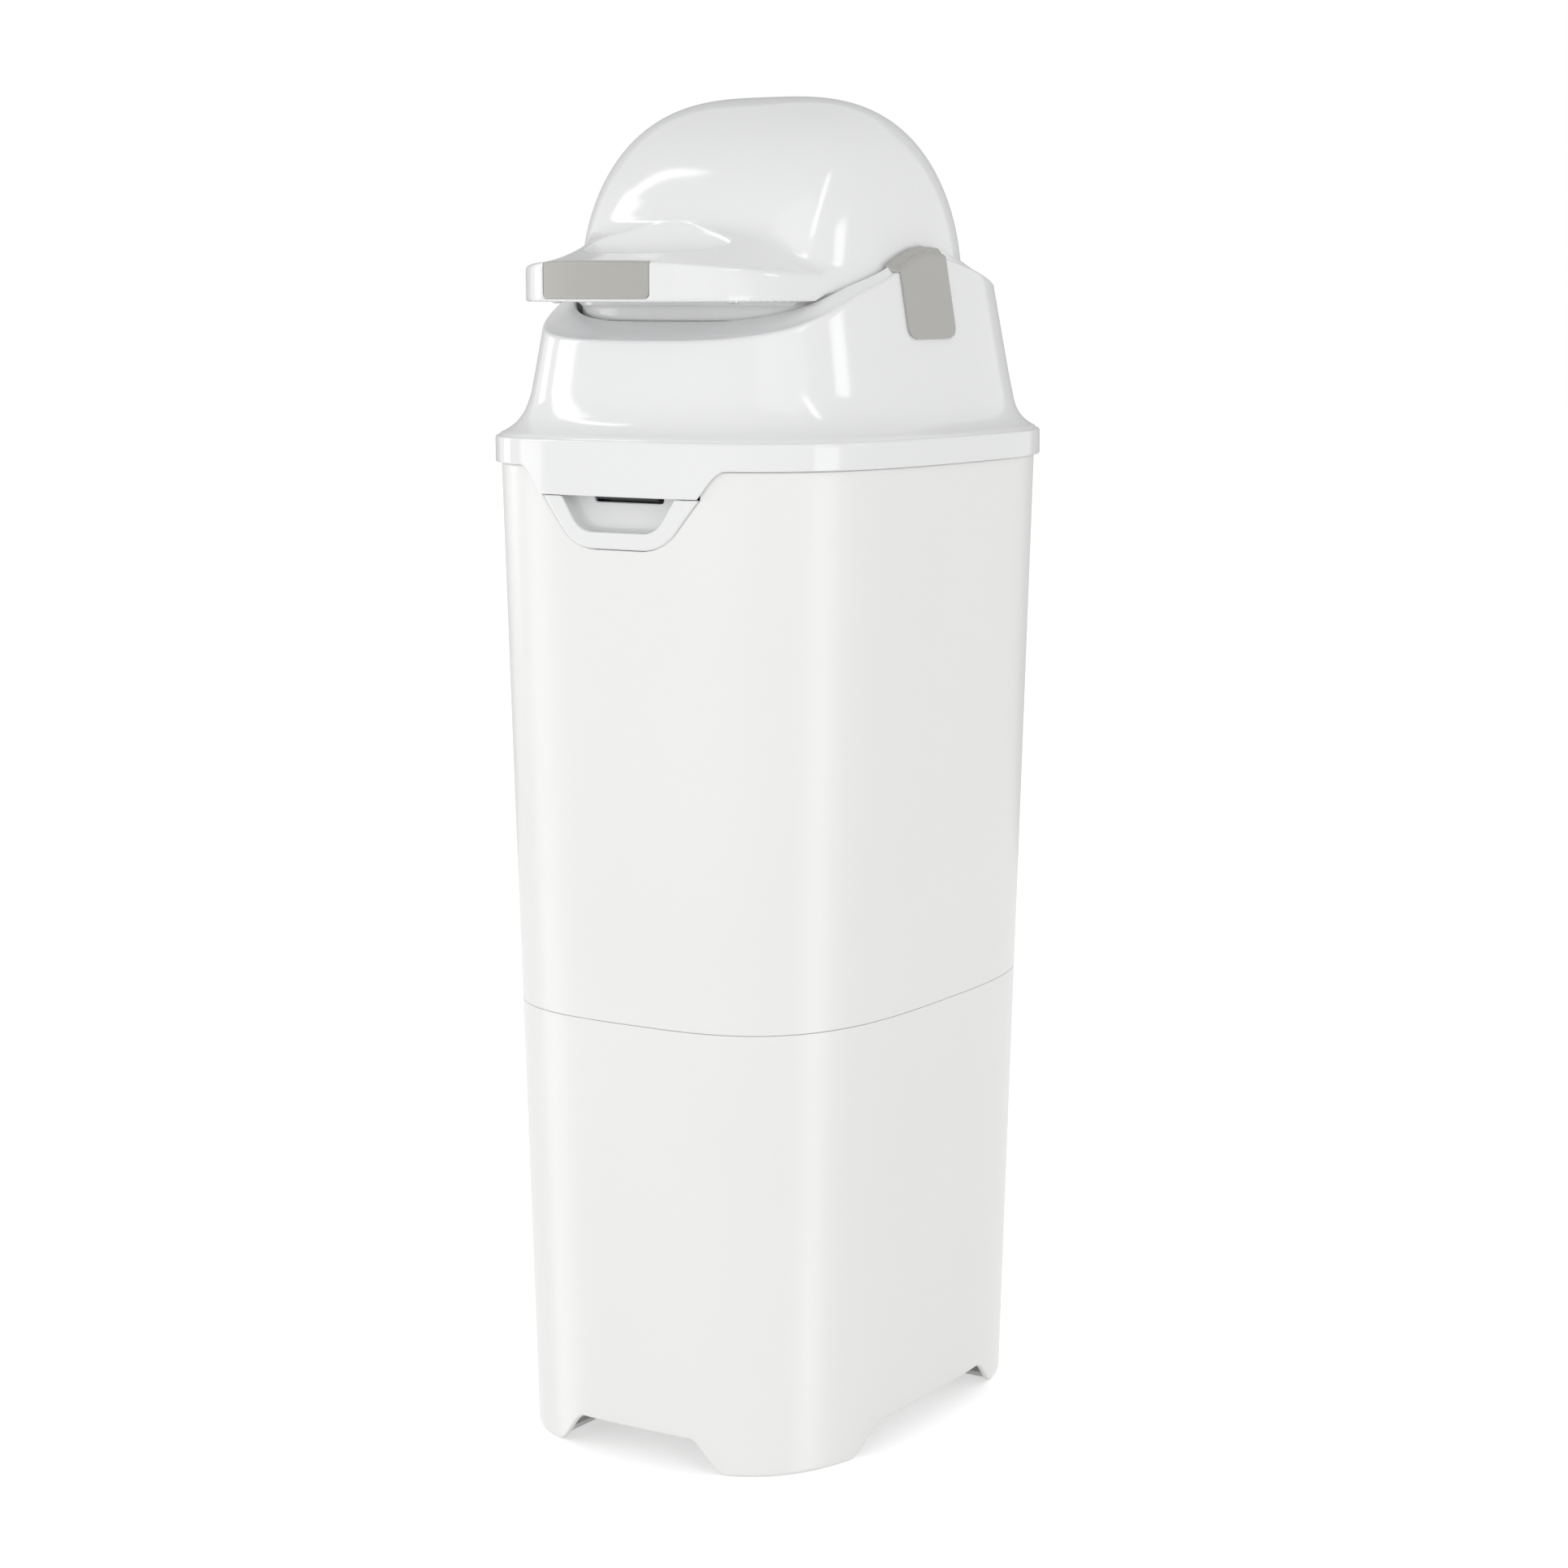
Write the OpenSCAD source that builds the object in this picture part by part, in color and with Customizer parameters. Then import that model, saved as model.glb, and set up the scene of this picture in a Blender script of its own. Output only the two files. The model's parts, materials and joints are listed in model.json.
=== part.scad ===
// Nappy bin: a tapered two-part body, a tip-back lid unit and a flip-over drum with a piston.
// Millimetres.  The origin is on the floor under the middle of the body, +Z is up, -Y is the front.

/* [Body] */
// Half width of the body at the floor, left to right
foot_half_w = 101.5; // [90:0.5:125]
// Half depth of the body at the floor, front to back
foot_half_d = 137; // [130:0.5:170]
// How far a side wall leans out for each mm of height
lean_w = 0.0272; // [0.015:0.0001:0.035]
// How far the front and back walls lean out for each mm of height
lean_d = 0.0196; // [0.015:0.0001:0.035]
// Height of the seam between the base and the upper shell
seam_z = 234.8; // [150:0.2:320]
// Height of the body's top edge
body_top_z = 520; // [430:1:640]
// Exponent of the body's plan outline: 2 is an ellipse, higher is squarer
plan_n = 3.2; // [2.6:0.1:4]
// Wall thickness of the body mouldings
wall = 2.6; // [2:0.1:3.2]
// Height of the underside of the floor
floor_z = 22; // [19:1:40]
// Thickness of the floor
floor_t = 3; // [2:0.5:5]

/* [Feet] */
// Height of the front and back arches
arch_y_h = 17.5; // [10:0.5:18]
// Half width of the front and back arches at the floor
arch_y_half = 53.5; // [45:0.5:60]
// Half width of the flat top of the front and back arches
arch_y_flat = 33; // [20:0.5:40]
// Height of the side arches
arch_x_h = 15.5; // [10:0.5:18]
// Half width of the side arches at the floor
arch_x_half = 77; // [60:0.5:85]
// Half width of the flat top of the side arches
arch_x_flat = 52; // [35:0.5:56]

/* [Lid unit] */
// How far the flange stands out from the body's top edge
flange_over = 2.8; // [2.4:0.1:5]
// Height of the flange band
flange_h = 14; // [12:0.5:18]
// Depth of the flare between the flange and the housing wall
flare_depth = 11.7; // [8:0.1:13]
// Height over which the flare dies away
flare_h = 5.5; // [4:0.1:8]
// How far the housing wall leans in for each mm of height
house_lean = 0.16; // [0.12:0.01:0.18]
// How far the housing sits behind the middle of the body
house_back = 3; // [0:0.5:5]
// Wall thickness of the lid mouldings
lid_wall = 2.8; // [2.2:0.1:3.2]
// How far the front tab hangs below the flange
tab_drop = 14; // [10:0.5:16]
// Half width of the front tab at its bottom edge
tab_half = 48; // [44:0.5:50]
// How far each side of the tab spreads on its way up to the flange
tab_spread = 15; // [10:0.5:20]

/* [Drum] */
// Radius of the drum about the pivot axis
drum_r = 100; // [92:0.5:102]
// Exponent of the drum's profile
drum_n = 3.35; // [3:0.05:3.8]
// Gap between the drum's ends and the well
drum_side_gap = 2; // [1.5:0.1:3]
// Gap between the drum and the well at the front and back
drum_front_gap = 3; // [2:0.1:4]
// Wall thickness of the drum mouldings
drum_wall = 2.4; // [2:0.1:3]
// Height of the pivot axis above the lowest point that the drum sweeps
pivot_over_sweep = 0; // [-1:0.1:1]
// Height of the slice cut off the drum at the chute's mouth
mouth_cut = 38; // [34:0.5:42]
// Inner radius of the chute tube
chute_r = 62; // [54:0.5:63]
// Radius of the pivot pins
pivot_r = 9; // [7:0.25:10]
// How far the visor reaches in front of the drum
visor_reach = 70; // [50:1:74]
// Half width of the grip pad
pad_half = 32.5; // [25:0.5:38]
// Room between the chute tube's top and the dome
tube_crown_gap = 15.3; // [15:0.1:40]
// Height of the piston
piston_h = 26; // [20:1:28]

/* [Hinge and latch] */
// Radius of the hinge knuckles
knuckle_r = 6; // [5:0.25:6.2]
// Radius of the hinge pin
hinge_pin_r = 2.5; // [2:0.1:3]
// Radius of the latch pin
latch_pin_r = 1.5; // [1.2:0.1:1.7]
// Wire diameter of the latch spring
spring_wire = 0.8; // [0.6:0.1:1]

/* [Clearances] */
// Gap between two mouldings that lie against each other
seat_gap = 0.3; // [0.2:0.05:0.4]
// Radial gap between a pin and its bore
pin_gap = 0.06; // [0.03:0.01:0.09]
// Gap between mouldings that move past each other
sweep_gap = 1.2; // [0.8:0.1:1.5]

/* [Hidden] */
$fn = 96;
eps = 0.01;
ring_points = 64;

// Body outline at a height
function body_a(z) = foot_half_w + lean_w * z;
function body_b(z) = foot_half_d + lean_d * z;

// Lid unit heights and plan sizes
flange_a = body_a(body_top_z) + flange_over;
flange_b = body_b(body_top_z) + flange_over;
flange_top_z = body_top_z + flange_h;
flange_hollow = 8.6;
sweep_floor_z = body_top_z - 11;
pivot_z = sweep_floor_z + drum_r + pivot_over_sweep;
// The sides lean in a little more than the front and back
lean_share_a = 1.08;
lean_share_b = 0.93;
function flare_in(z) = flare_depth * (1 - exp(-(z - flange_top_z) / flare_h)) + house_lean * (z - flange_top_z);
function house_a(z) = flange_a - lean_share_a * flare_in(z);
function house_b(z) = flange_b - lean_share_b * flare_in(z);
shoulder_t = 7.4;
well_n = 3.3;
well_a = house_a(pivot_z) - shoulder_t;
well_b = drum_r + drum_front_gap;
skirt_t = 2.3;
skirt_z = pivot_z - 34;
drum_a = well_a - drum_side_gap;
split_drop = 16;

// Height of the rim above the pivot axis along the saddle, front to back
rim_path = [[-140, -26], [-125, -22.5], [-103, -16.5], [-85, -9.5], [-60, 1.2], [-32, 9], [-12, 17.2],
            [6, 20.6], [26, 19.6], [60, 13.4], [95, 6.4], [140, 4.4]];
rim_blend = 7;
function rim_z(y) = pivot_z + (lookup(y - rim_blend, rim_path) + 2 * lookup(y, rim_path)
    + lookup(y + rim_blend, rim_path)) / 4;
rim_edge_drop = 2.5;
rim_edge_r = 4;

// Inner fittings
underplate_t = 3;
underplate_z = body_top_z - 7;
underplate_gap = 0.5;
drop_hole_a = 70;
drop_hole_b = 72;
ring_top_z = body_top_z - 10.3;
ring_back = 8;
ring_a = body_a(body_top_z) - 9.7;
ring_b = body_b(body_top_z) - 18.2;
ring_land = 20;
ring_h = 9.8;
ring_t = 2.4;
ring_tube_drop = 40;
gasket_w = 5;
gasket_a = ring_a - 12;
gasket_b = ring_b - 20;
// The lid screws stand outside the gasket: [distance outside it, plan angle] at the front and the back
front_screw = [17, 58.5];
rear_screw = [4, 46];
function screw_spot(place, end) = [(gasket_a + place[0]) * pow(cos(place[1]), 2 / plan_n),
    ring_back + end * (gasket_b + place[0]) * pow(sin(place[1]), 2 / plan_n)];
lid_screw_spots = [
    for (side = [-1, 1], place = [[front_screw, -1], [rear_screw, 1]])
        let (spot = screw_spot(place[0], place[1])) [side * spot.x, spot.y]
];
lid_boss_r = 5;
screw_r = 1.6;
screw_head_r = 2.8;
screw_head_h = 1.8;

// Seam between the two body mouldings
spigot_h = 11;
spigot_gap = 0.3;

// Latch
cup_top_z = body_top_z - 9.5;
tab_bottom_z = body_top_z - tab_drop;
cup_bottom_z = tab_bottom_z - 26.6;
cup_foot_half = 27;
cup_proud = 0.8;
cup_corner = 14;
pocket_corner = 10;
cup_wall = 2;
pocket_half = 34.6;
pocket_foot_half = 23.6;
pocket_bottom_z = tab_bottom_z - 18;
front_top_y = -body_b(body_top_z);
pocket_back_y = front_top_y + 11.2;
cup_back_y = pocket_back_y + cup_wall;
slot_half = 20.7;
slot_bottom_z = tab_bottom_z - 2.5;
latch_y = cup_back_y + 5.8;
latch_z = tab_bottom_z - 18;
lever_t = 2.4;
lever_half = 19;
lever_bar_half = 30;
lever_top_z = tab_bottom_z + 2.6;
lever_bar_z = tab_bottom_z - 5.2;
ear_x = 21.5;
ear_t = 3;
ear_r = 4;
spring_gap_half = 6;

// Rear hinge
hinge_y = body_b(body_top_z) + flange_over + 7;
hinge_z = body_top_z + 4;
lid_knuckle_half = 21.7;
bracket_knuckle_w = 16;
bracket_half = 40;
bracket_t = 3.4;
bracket_screw_x = 34;
bracket_screw_z = [body_top_z - 17, body_top_z - 31];
bracket_screw_r = 2;
bracket_head_r = 3.6;
bracket_head_h = 2;
bracket_boss_r = 4.8;

// Drum fittings
mouth_drop = drum_r - mouth_cut;
chute_wall = 2.4;
mouth_lip = 2;
barrel_floor_t = 2.4;
drum_screw_x = 66;
drum_screw_y = 50;
drum_boss_r = 4.5;
pivot_flange_r = 14;
pivot_flange_t = 3;
bush_r = pivot_r + 2.5;
bush_gap = 0.1;
// The bush and the pin end short of the housing's outer face, under the clip
bush_w = shoulder_t - 2.8;
pivot_pin_end = bush_w - 0.1;
clip_half = 24;
clip_t = 1.1;
clip_bottom = 25.6;
clip_corner = 7;

// Visor
visor_mid_y = -drum_r + 22;
visor_a = 77;
visor_b = drum_r + visor_reach + visor_mid_y;
visor_n = 2.2;
visor_rear_b = 62;
visor_bottom_z = pivot_z - 6.4;
visor_edge_z = pivot_z + 13.6;
visor_side_fall = 6;
visor_root_z = pivot_z + 27;
visor_skin = 7;
visor_void_z = pivot_z + 2;
scoop_half = 42;
scoop_reach = 35;
scoop_y = -drum_r - 4;
scoop_back_y = -drum_r + 3.6;
scoop_floor_z = pivot_z + 8.5;
pad_t = 4.5;
cover_t = 1.8;
cover_screw_x = 54;
cover_screw_y = -drum_r - 22;

// ---- shapes ----

function signed_pow(v, e) = sign(v) * pow(abs(v), e);
function superellipse(a, b, n, back = 0) = [
    for (i = [0:ring_points - 1])
        let (t = 360 * i / ring_points)
        [a * signed_pow(cos(t), 2 / n), back + b * signed_pow(sin(t), 2 / n)]
];
function at_height(outline, z) = [for (p = outline) [p.x, p.y, z]];
function body_ring(z, grow) = at_height(superellipse(body_a(z) + grow, body_b(z) + grow, plan_n), z);
function flat_list(lists) = [for (l = lists) each l];
// Corners of an outline eased by a curve that starts "cut" before each corner
function eased(points, cut, steps = 5) = flat_list([
    for (i = [0:len(points) - 1])
        let (
            here = points[i],
            before = points[(i + len(points) - 1) % len(points)],
            after = points[(i + 1) % len(points)],
            p0 = here + cut[i] * (before - here) / norm(before - here),
            p2 = here + cut[i] * (after - here) / norm(after - here)
        )
        cut[i] == 0 ? [here] : [
            for (k = [0:steps]) let (s = k / steps)
                (1 - s) * (1 - s) * p0 + 2 * s * (1 - s) * here + s * s * p2
        ]
]);

function side_faces(from, to, n) = flat_list([
    for (i = [0:n - 1])
        let (j = (i + 1) % n)
        [[from + i, to + i, to + j], [from + i, to + j, from + j]]
]);
// A solid through a stack of rings, closed at both ends
module capped_loft(rings) {
    n = len(rings[0]);
    last = (len(rings) - 1) * n;
    polyhedron(points = flat_list(rings), faces = concat(
        [for (i = [1:n - 2]) [0, i, i + 1]],
        flat_list([for (k = [0:len(rings) - 2]) side_faces(k * n, (k + 1) * n, n)]),
        [for (i = [1:n - 2]) [last, last + i + 1, last + i]]
    ));
}
// A hoop through a loop of rings: the last ring joins the first
module hoop_loft(rings) {
    n = len(rings[0]);
    count = len(rings);
    polyhedron(points = flat_list(rings),
        faces = flat_list([for (k = [0:count - 1]) side_faces(k * n, ((k + 1) % count) * n, n)]));
}
module body_band(z0, z1, outer, inner) {
    hoop_loft([body_ring(z0, outer), body_ring(z1, outer), body_ring(z1, inner), body_ring(z0, inner)]);
}
module oval_prism(a, b, n, z0, z1, back = 0) {
    translate([0, 0, z0]) linear_extrude(z1 - z0) polygon(superellipse(a, b, n, back));
}
module oval_hoop(a, b, n, width, z0, z1, back = 0) {
    translate([0, 0, z0]) linear_extrude(z1 - z0) difference() {
        polygon(superellipse(a, b, n, back));
        polygon(superellipse(a - width, b - width, n, back));
    }
}
// A 2D outline in X and Z, run along Y
module along_y(y0, y1) {
    translate([0, y1, 0]) rotate([90, 0, 0]) linear_extrude(y1 - y0) children();
}
// A 2D outline in Y and Z, run along X
module along_x(x0, x1) {
    translate([x0, 0, 0]) rotate([90, 0, 90]) linear_extrude(x1 - x0) children();
}
module rod_x(r, x0, x1, y, z) {
    translate([x0, y, z]) rotate([0, 90, 0]) cylinder(r = r, h = x1 - x0);
}
module rod_y(r, y0, y1, x, z) {
    translate([x, y1, z]) rotate([90, 0, 0]) cylinder(r = r, h = y1 - y0);
}
module rod_z(r, z0, z1, x, y) {
    translate([x, y, z0]) cylinder(r = r, h = z1 - z0);
}
module block(low, high) {
    translate(low) cube(high - low);
}
module both_sides() {
    children();
    mirror([1, 0, 0]) children();
}

// ---- body ----

// Half of an arch: flat top, then an S-shaped shoulder down to the floor
function arch_side(flat, half, height) = [
    for (k = [0:10]) let (s = k / 10) [flat + (half - flat) * s, height * (1 + cos(180 * s)) / 2]
];
module arch_2d(flat, half, height) {
    right = arch_side(flat, half, height);
    left = [for (k = [len(right) - 1:-1:0]) [-right[k].x, right[k].y]];
    polygon(concat(left, right, [[half, -5], [-half, -5]]));
}
module arches() {
    along_y(-2 * foot_half_d, 2 * foot_half_d) arch_2d(arch_y_flat, arch_y_half, arch_y_h);
    along_x(-2 * foot_half_w, 2 * foot_half_w) arch_2d(arch_x_flat, arch_x_half, arch_x_h);
}
module base_shell() {
    color([0.94, 0.94, 0.93]) difference() {
        union() {
            capped_loft([
                body_ring(floor_z, -wall), body_ring(0, -wall), body_ring(0, 0),
                body_ring(seam_z - seat_gap / 2, 0), body_ring(seam_z - seat_gap / 2, -wall),
                body_ring(floor_z + floor_t, -wall)
            ]);
            foot_soles();
        }
        arches();
    }
}
// Soles that close the four hollow corner feet
module foot_soles() {
    intersection() {
        capped_loft([body_ring(0, -wall / 2), body_ring(wall, -wall / 2)]);
        both_sides() for (front = [0, 1]) mirror([0, front, 0])
            block([arch_y_half, arch_x_half, 0], [foot_half_w + wall, foot_half_d + wall, wall]);
    }
}

function front_cut_outline(gap) = [
    [-tab_half - gap, body_top_z + 5], [-tab_half - gap, tab_bottom_z],
    [-cup_foot_half - gap, cup_bottom_z - gap], [cup_foot_half + gap, cup_bottom_z - gap],
    [tab_half + gap, tab_bottom_z], [tab_half + gap, body_top_z + 5]
];
module bin_shell() {
    color([0.95, 0.95, 0.94]) difference() {
        union() {
            hoop_loft([
                body_ring(seam_z + seat_gap / 2, 0), body_ring(body_top_z - seat_gap, 0),
                body_ring(body_top_z - seat_gap, -wall), body_ring(seam_z + spigot_h, -wall),
                body_ring(seam_z + spigot_h - wall, -2 * wall), body_ring(seam_z - spigot_h, -2 * wall),
                body_ring(seam_z - spigot_h, -wall - spigot_gap),
                body_ring(seam_z + seat_gap / 2, -wall - spigot_gap)
            ]);
            intersection() {
                capped_loft([body_ring(cup_bottom_z - 20, -wall / 2), body_ring(body_top_z - 1, -wall / 2)]);
                union() {
                    ring_ledges();
                    bracket_bosses();
                }
            }
        }
        along_y(front_top_y - 10, cup_back_y + 10) polygon(eased(front_cut_outline(seat_gap), [0, 0, cup_corner, cup_corner, 0, 0]));
        bracket_screw_holes(screw_r);
    }
}
// Ledges that carry the bag ring
module ring_ledges() {
    top = ring_top_z - ring_h - seat_gap;
    ledge_t = 3.4;
    both_sides() {
        for (y0 = [-42, 25]) block([ring_a - 5, y0, top - ledge_t], [ring_a + 30, y0 + 17, top]);
        block([12, ring_back + ring_b - 5, top - ledge_t], [26, ring_back + ring_b + 30, top]);
        block([60, ring_back - ring_b - 30, top - ledge_t], [72, ring_back - ring_b + 12, top]);
    }
}
module bracket_bosses() {
    both_sides() for (z = bracket_screw_z)
        rod_y(bracket_boss_r, ring_back + ring_b + 1, hinge_y, bracket_screw_x, z);
}
module bracket_screw_holes(r) {
    both_sides() for (z = bracket_screw_z)
        rod_y(r, ring_back + ring_b - 1, hinge_y + 10, bracket_screw_x, z);
}

module bag_ring() {
    color([0.80, 0.82, 0.83]) {
        difference() {
            union() {
                oval_hoop(ring_a, ring_b, plan_n, ring_t, ring_top_z - ring_h, ring_top_z, ring_back);
                oval_hoop(ring_a, ring_b, plan_n, ring_land, ring_top_z - ring_t, ring_top_z, ring_back);
                oval_hoop(ring_a - ring_land + ring_t, ring_b - ring_land + ring_t, plan_n, ring_t,
                    ring_top_z - ring_tube_drop, ring_top_z, ring_back);
            }
            // Thumb notches for lifting the ring out
            both_sides() rod_x(9, ring_a - ring_t - 1, ring_a + 2, ring_back, ring_top_z - ring_h);
        }
    }
}

// ---- latch ----

module latch_cup() {
    mid = tab_bottom_z - 0.4;
    half = tab_half - 0.5;
    color([0.93, 0.93, 0.93]) difference() {
        union() {
            // Visible frame, a little proud of the body
            intersection() {
                along_y(front_top_y - 10, cup_back_y + 10)
                    polygon(eased([[-half, mid], [-cup_foot_half, cup_bottom_z], [cup_foot_half, cup_bottom_z],
                        [half, mid]], [0, cup_corner, cup_corner, 0]));
                body_band(cup_bottom_z - 10, cup_top_z + 1, cup_proud, -wall - seat_gap - 1);
            }
            // Upper part behind the lid's tab
            intersection() {
                along_y(front_top_y - 10, cup_back_y + 10)
                    polygon([[6 - half, mid - 6], [half - 6, mid - 6], [half, mid], [half, cup_top_z],
                        [-half, cup_top_z], [-half, mid]]);
                body_band(cup_bottom_z - 10, cup_top_z + 1, -0.3, -wall - seat_gap - 1);
            }
            // Flange inside the body wall
            intersection() {
                along_y(front_top_y - 10, cup_back_y + 10)
                    polygon(eased([[-tab_half - 9, cup_top_z], [-tab_half - 9, tab_bottom_z - 6],
                        [-cup_foot_half - 6, cup_bottom_z - 8], [cup_foot_half + 6, cup_bottom_z - 8],
                        [tab_half + 9, tab_bottom_z - 6], [tab_half + 9, cup_top_z]],
                        [0, 6, cup_corner, cup_corner, 6, 0]));
                body_band(cup_bottom_z - 20, cup_top_z + 1, -wall - seat_gap, -wall - seat_gap - 2);
            }
            along_y(front_top_y + 2.6, cup_back_y) polygon(pocket_outline(cup_wall, cup_top_z));
            latch_ears();
        }
        pocket_hollow();
        along_y(pocket_back_y - 1, cup_back_y + 1)
            polygon(eased([[-slot_half, slot_bottom_z], [slot_half, slot_bottom_z], [slot_half, cup_top_z + 1],
                [-slot_half, cup_top_z + 1]], [2, 2, 0, 0]));
        rod_x(latch_pin_r + pin_gap, -ear_x - ear_t - 1, ear_x + ear_t + 1, latch_y, latch_z);
    }
}
function pocket_outline(grow, top) = eased([
    [-pocket_half - grow, top], [-pocket_half - grow, tab_bottom_z],
    [-pocket_foot_half - grow, pocket_bottom_z - grow], [pocket_foot_half + grow, pocket_bottom_z - grow],
    [pocket_half + grow, tab_bottom_z], [pocket_half + grow, top]
], [0, 0, pocket_corner, pocket_corner, 0, 0]);
module pocket_hollow() {
    along_y(front_top_y - 10, pocket_back_y) polygon(pocket_outline(0, cup_top_z + 1));
}
module latch_ears() {
    both_sides() along_x(ear_x, ear_x + ear_t) difference() {
        union() {
            translate([latch_y, latch_z]) circle(r = ear_r);
            polygon([[cup_back_y - 1, latch_z - ear_r], [latch_y, latch_z - ear_r], [latch_y, latch_z + ear_r],
                [cup_back_y - 1, latch_z + ear_r]]);
        }
    }
}
module latch_pin() {
    color("silver") rod_x(latch_pin_r, -ear_x - ear_t - 1.5, ear_x + ear_t + 1.5, latch_y, latch_z);
}
module latch_lever() {
    bore_r = latch_pin_r + pin_gap;
    knuckle = latch_pin_r + 1.7;
    y0 = latch_y - lever_t / 2;
    color([0.18, 0.19, 0.20]) difference() {
        union() {
            rod_x(knuckle, -ear_x + 0.5, ear_x - 0.5, latch_y, latch_z);
            block([-lever_half, y0, latch_z], [lever_half, y0 + lever_t, lever_top_z]);
            block([-lever_bar_half, y0, lever_bar_z], [lever_bar_half, y0 + lever_t, lever_top_z]);
            // Finger bar through the slot
            block([-lever_half, pocket_back_y - 1.6, lever_bar_z + 3.2], [lever_half, latch_y, lever_bar_z + 7]);
        }
        rod_x(bore_r, -ear_x - 1, ear_x + 1, latch_y, latch_z);
        block([-spring_gap_half, latch_y - 5, latch_z - 5], [spring_gap_half, latch_y + 5, latch_z + 6]);
    }
}
module latch_spring() {
    turns = 7;
    coil_r = latch_pin_r + 0.3 + spring_wire / 2;
    pitch = spring_wire * 0.98;
    arm_z = latch_z + 10;
    color("gainsboro") {
        for (k = [0:turns - 1])
            translate([(k - (turns - 1) / 2) * pitch, latch_y, latch_z]) rotate([0, 90, 0])
                rotate_extrude() translate([coil_r, 0]) circle(d = spring_wire);
        // One arm behind the lever, one against the cup
        translate([(turns - 1) / 2 * pitch, latch_y + coil_r, latch_z]) cylinder(d = spring_wire, h = 10);
        translate([-(turns - 1) / 2 * pitch, latch_y, latch_z - coil_r]) rotate([90, 0, 0])
            cylinder(d = spring_wire, h = latch_y - cup_back_y - 0.1);
    }
}

// ---- rear hinge ----

module hinge_bracket() {
    color([0.86, 0.86, 0.86]) difference() {
        union() {
            along_x(-bracket_half, bracket_half) polygon([
                [body_b(0), body_top_z - 37], [body_b(body_top_z) + bracket_t, body_top_z - 37],
                [body_b(body_top_z) + bracket_t, body_top_z - 3], [body_b(0), body_top_z - 3]
            ]);
            both_sides() along_x(lid_knuckle_half + seat_gap, lid_knuckle_half + seat_gap + bracket_knuckle_w) {
                translate([hinge_y, hinge_z]) circle(r = knuckle_r);
                polygon([[body_b(body_top_z) + 0.5, body_top_z - 12], [hinge_y + 3, hinge_z - 4],
                    [hinge_y + knuckle_r - 1, hinge_z], [hinge_y - knuckle_r, hinge_z],
                    [body_b(body_top_z) + bracket_t, body_top_z - 3], [body_b(body_top_z) + 0.5, body_top_z - 3]]);
            }
        }
        capped_loft([body_ring(body_top_z - 60, 0.1), body_ring(body_top_z + 10, 0.1)]);
        rod_x(hinge_pin_r + pin_gap, -bracket_half - 5, bracket_half + 5, hinge_y, hinge_z);
        bracket_screw_holes(bracket_screw_r + 0.1);
    }
}
module hinge_screws() {
    face_y = body_b(body_top_z) + bracket_t;
    color("silver") both_sides() for (z = bracket_screw_z) {
        rod_y(bracket_head_r, face_y, face_y + bracket_head_h, bracket_screw_x, z);
        rod_y(screw_r - 0.05, ring_back + ring_b + 2, face_y + eps, bracket_screw_x, z);
    }
}
module hinge_pin() {
    half = lid_knuckle_half + bracket_knuckle_w + 1;
    color("silver") rod_x(hinge_pin_r, -half, half, hinge_y, hinge_z);
}

// ---- lid unit ----

// One ring of the housing wall at a height
function house_ring(z, grow) = at_height(
    superellipse(house_a(z) + grow, house_b(z) + grow, plan_n, house_back * min(1, (z - flange_top_z) / 20)), z);
// A ring along the rim's saddle line
function rim_ring(grow, lift) = [
    for (i = [0:ring_points - 1])
        let (
            t = 360 * i / ring_points,
            cx = signed_pow(cos(t), 2 / plan_n),
            cy = signed_pow(sin(t), 2 / plan_n),
            z = rim_z(house_back + house_b(pivot_z) * cy) + lift
        )
        [(house_a(z) + grow) * cx, house_back + (house_b(z) + grow) * cy, z]
];
function well_ring(grow, lift) = [
    for (p = superellipse(well_a + grow, well_b + grow, well_n)) [p.x, p.y, rim_z(p.y) + lift]
];
// The outer shape of the housing, grown by a skin thickness
module house_solid(grow = 0) {
    capped_loft(concat(
        [
            at_height(superellipse(flange_a + grow, flange_b + grow, plan_n), body_top_z),
            at_height(superellipse(flange_a + grow, flange_b + grow, plan_n), flange_top_z - 1.3),
            at_height(superellipse(flange_a + grow - 1.3, flange_b + grow - 1.3, plan_n), flange_top_z)
        ],
        [for (rise = [2, 4, 7, 11, 17, 26]) house_ring(flange_top_z + rise, grow)],
        [
            rim_ring(grow, grow - rim_edge_drop - rim_edge_r),
            rim_ring(grow - 0.3 * rim_edge_r, grow - rim_edge_drop - 0.3 * rim_edge_r),
            rim_ring(grow - rim_edge_r, grow - rim_edge_drop),
            well_ring(grow - 6, grow)
        ]
    ));
}
// The hollow inside the housing, before its skirt and bosses
module house_hollow() {
    low = at_height(superellipse(flange_a - flange_hollow, flange_b - flange_hollow, plan_n), body_top_z - 5);
    capped_loft(concat(
        [low, at_height(superellipse(flange_a - flange_hollow, flange_b - flange_hollow, plan_n), flange_top_z - 2.8)],
        [for (rise = [7, 13, 26]) house_ring(flange_top_z + rise, -lid_wall)],
        [
            rim_ring(-lid_wall, -rim_edge_drop - lid_wall - 2),
            rim_ring(-lid_wall - 2, -rim_edge_drop - lid_wall),
            well_ring(-6, -lid_wall)
        ]
    ));
}
module well(grow, z0, z1) {
    oval_prism(well_a + grow, well_b + grow, well_n, z0, z1);
}
module pivot_slot(gap) {
    both_sides() {
        rod_x(bush_r + gap, well_a - 3, well_a + bush_w + gap + 0.2, 0, pivot_z);
        block([well_a - 3, -bush_r - gap, pivot_z], [well_a + bush_w + gap + 0.2, bush_r + gap, pivot_z + 40]);
    }
}
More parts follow.
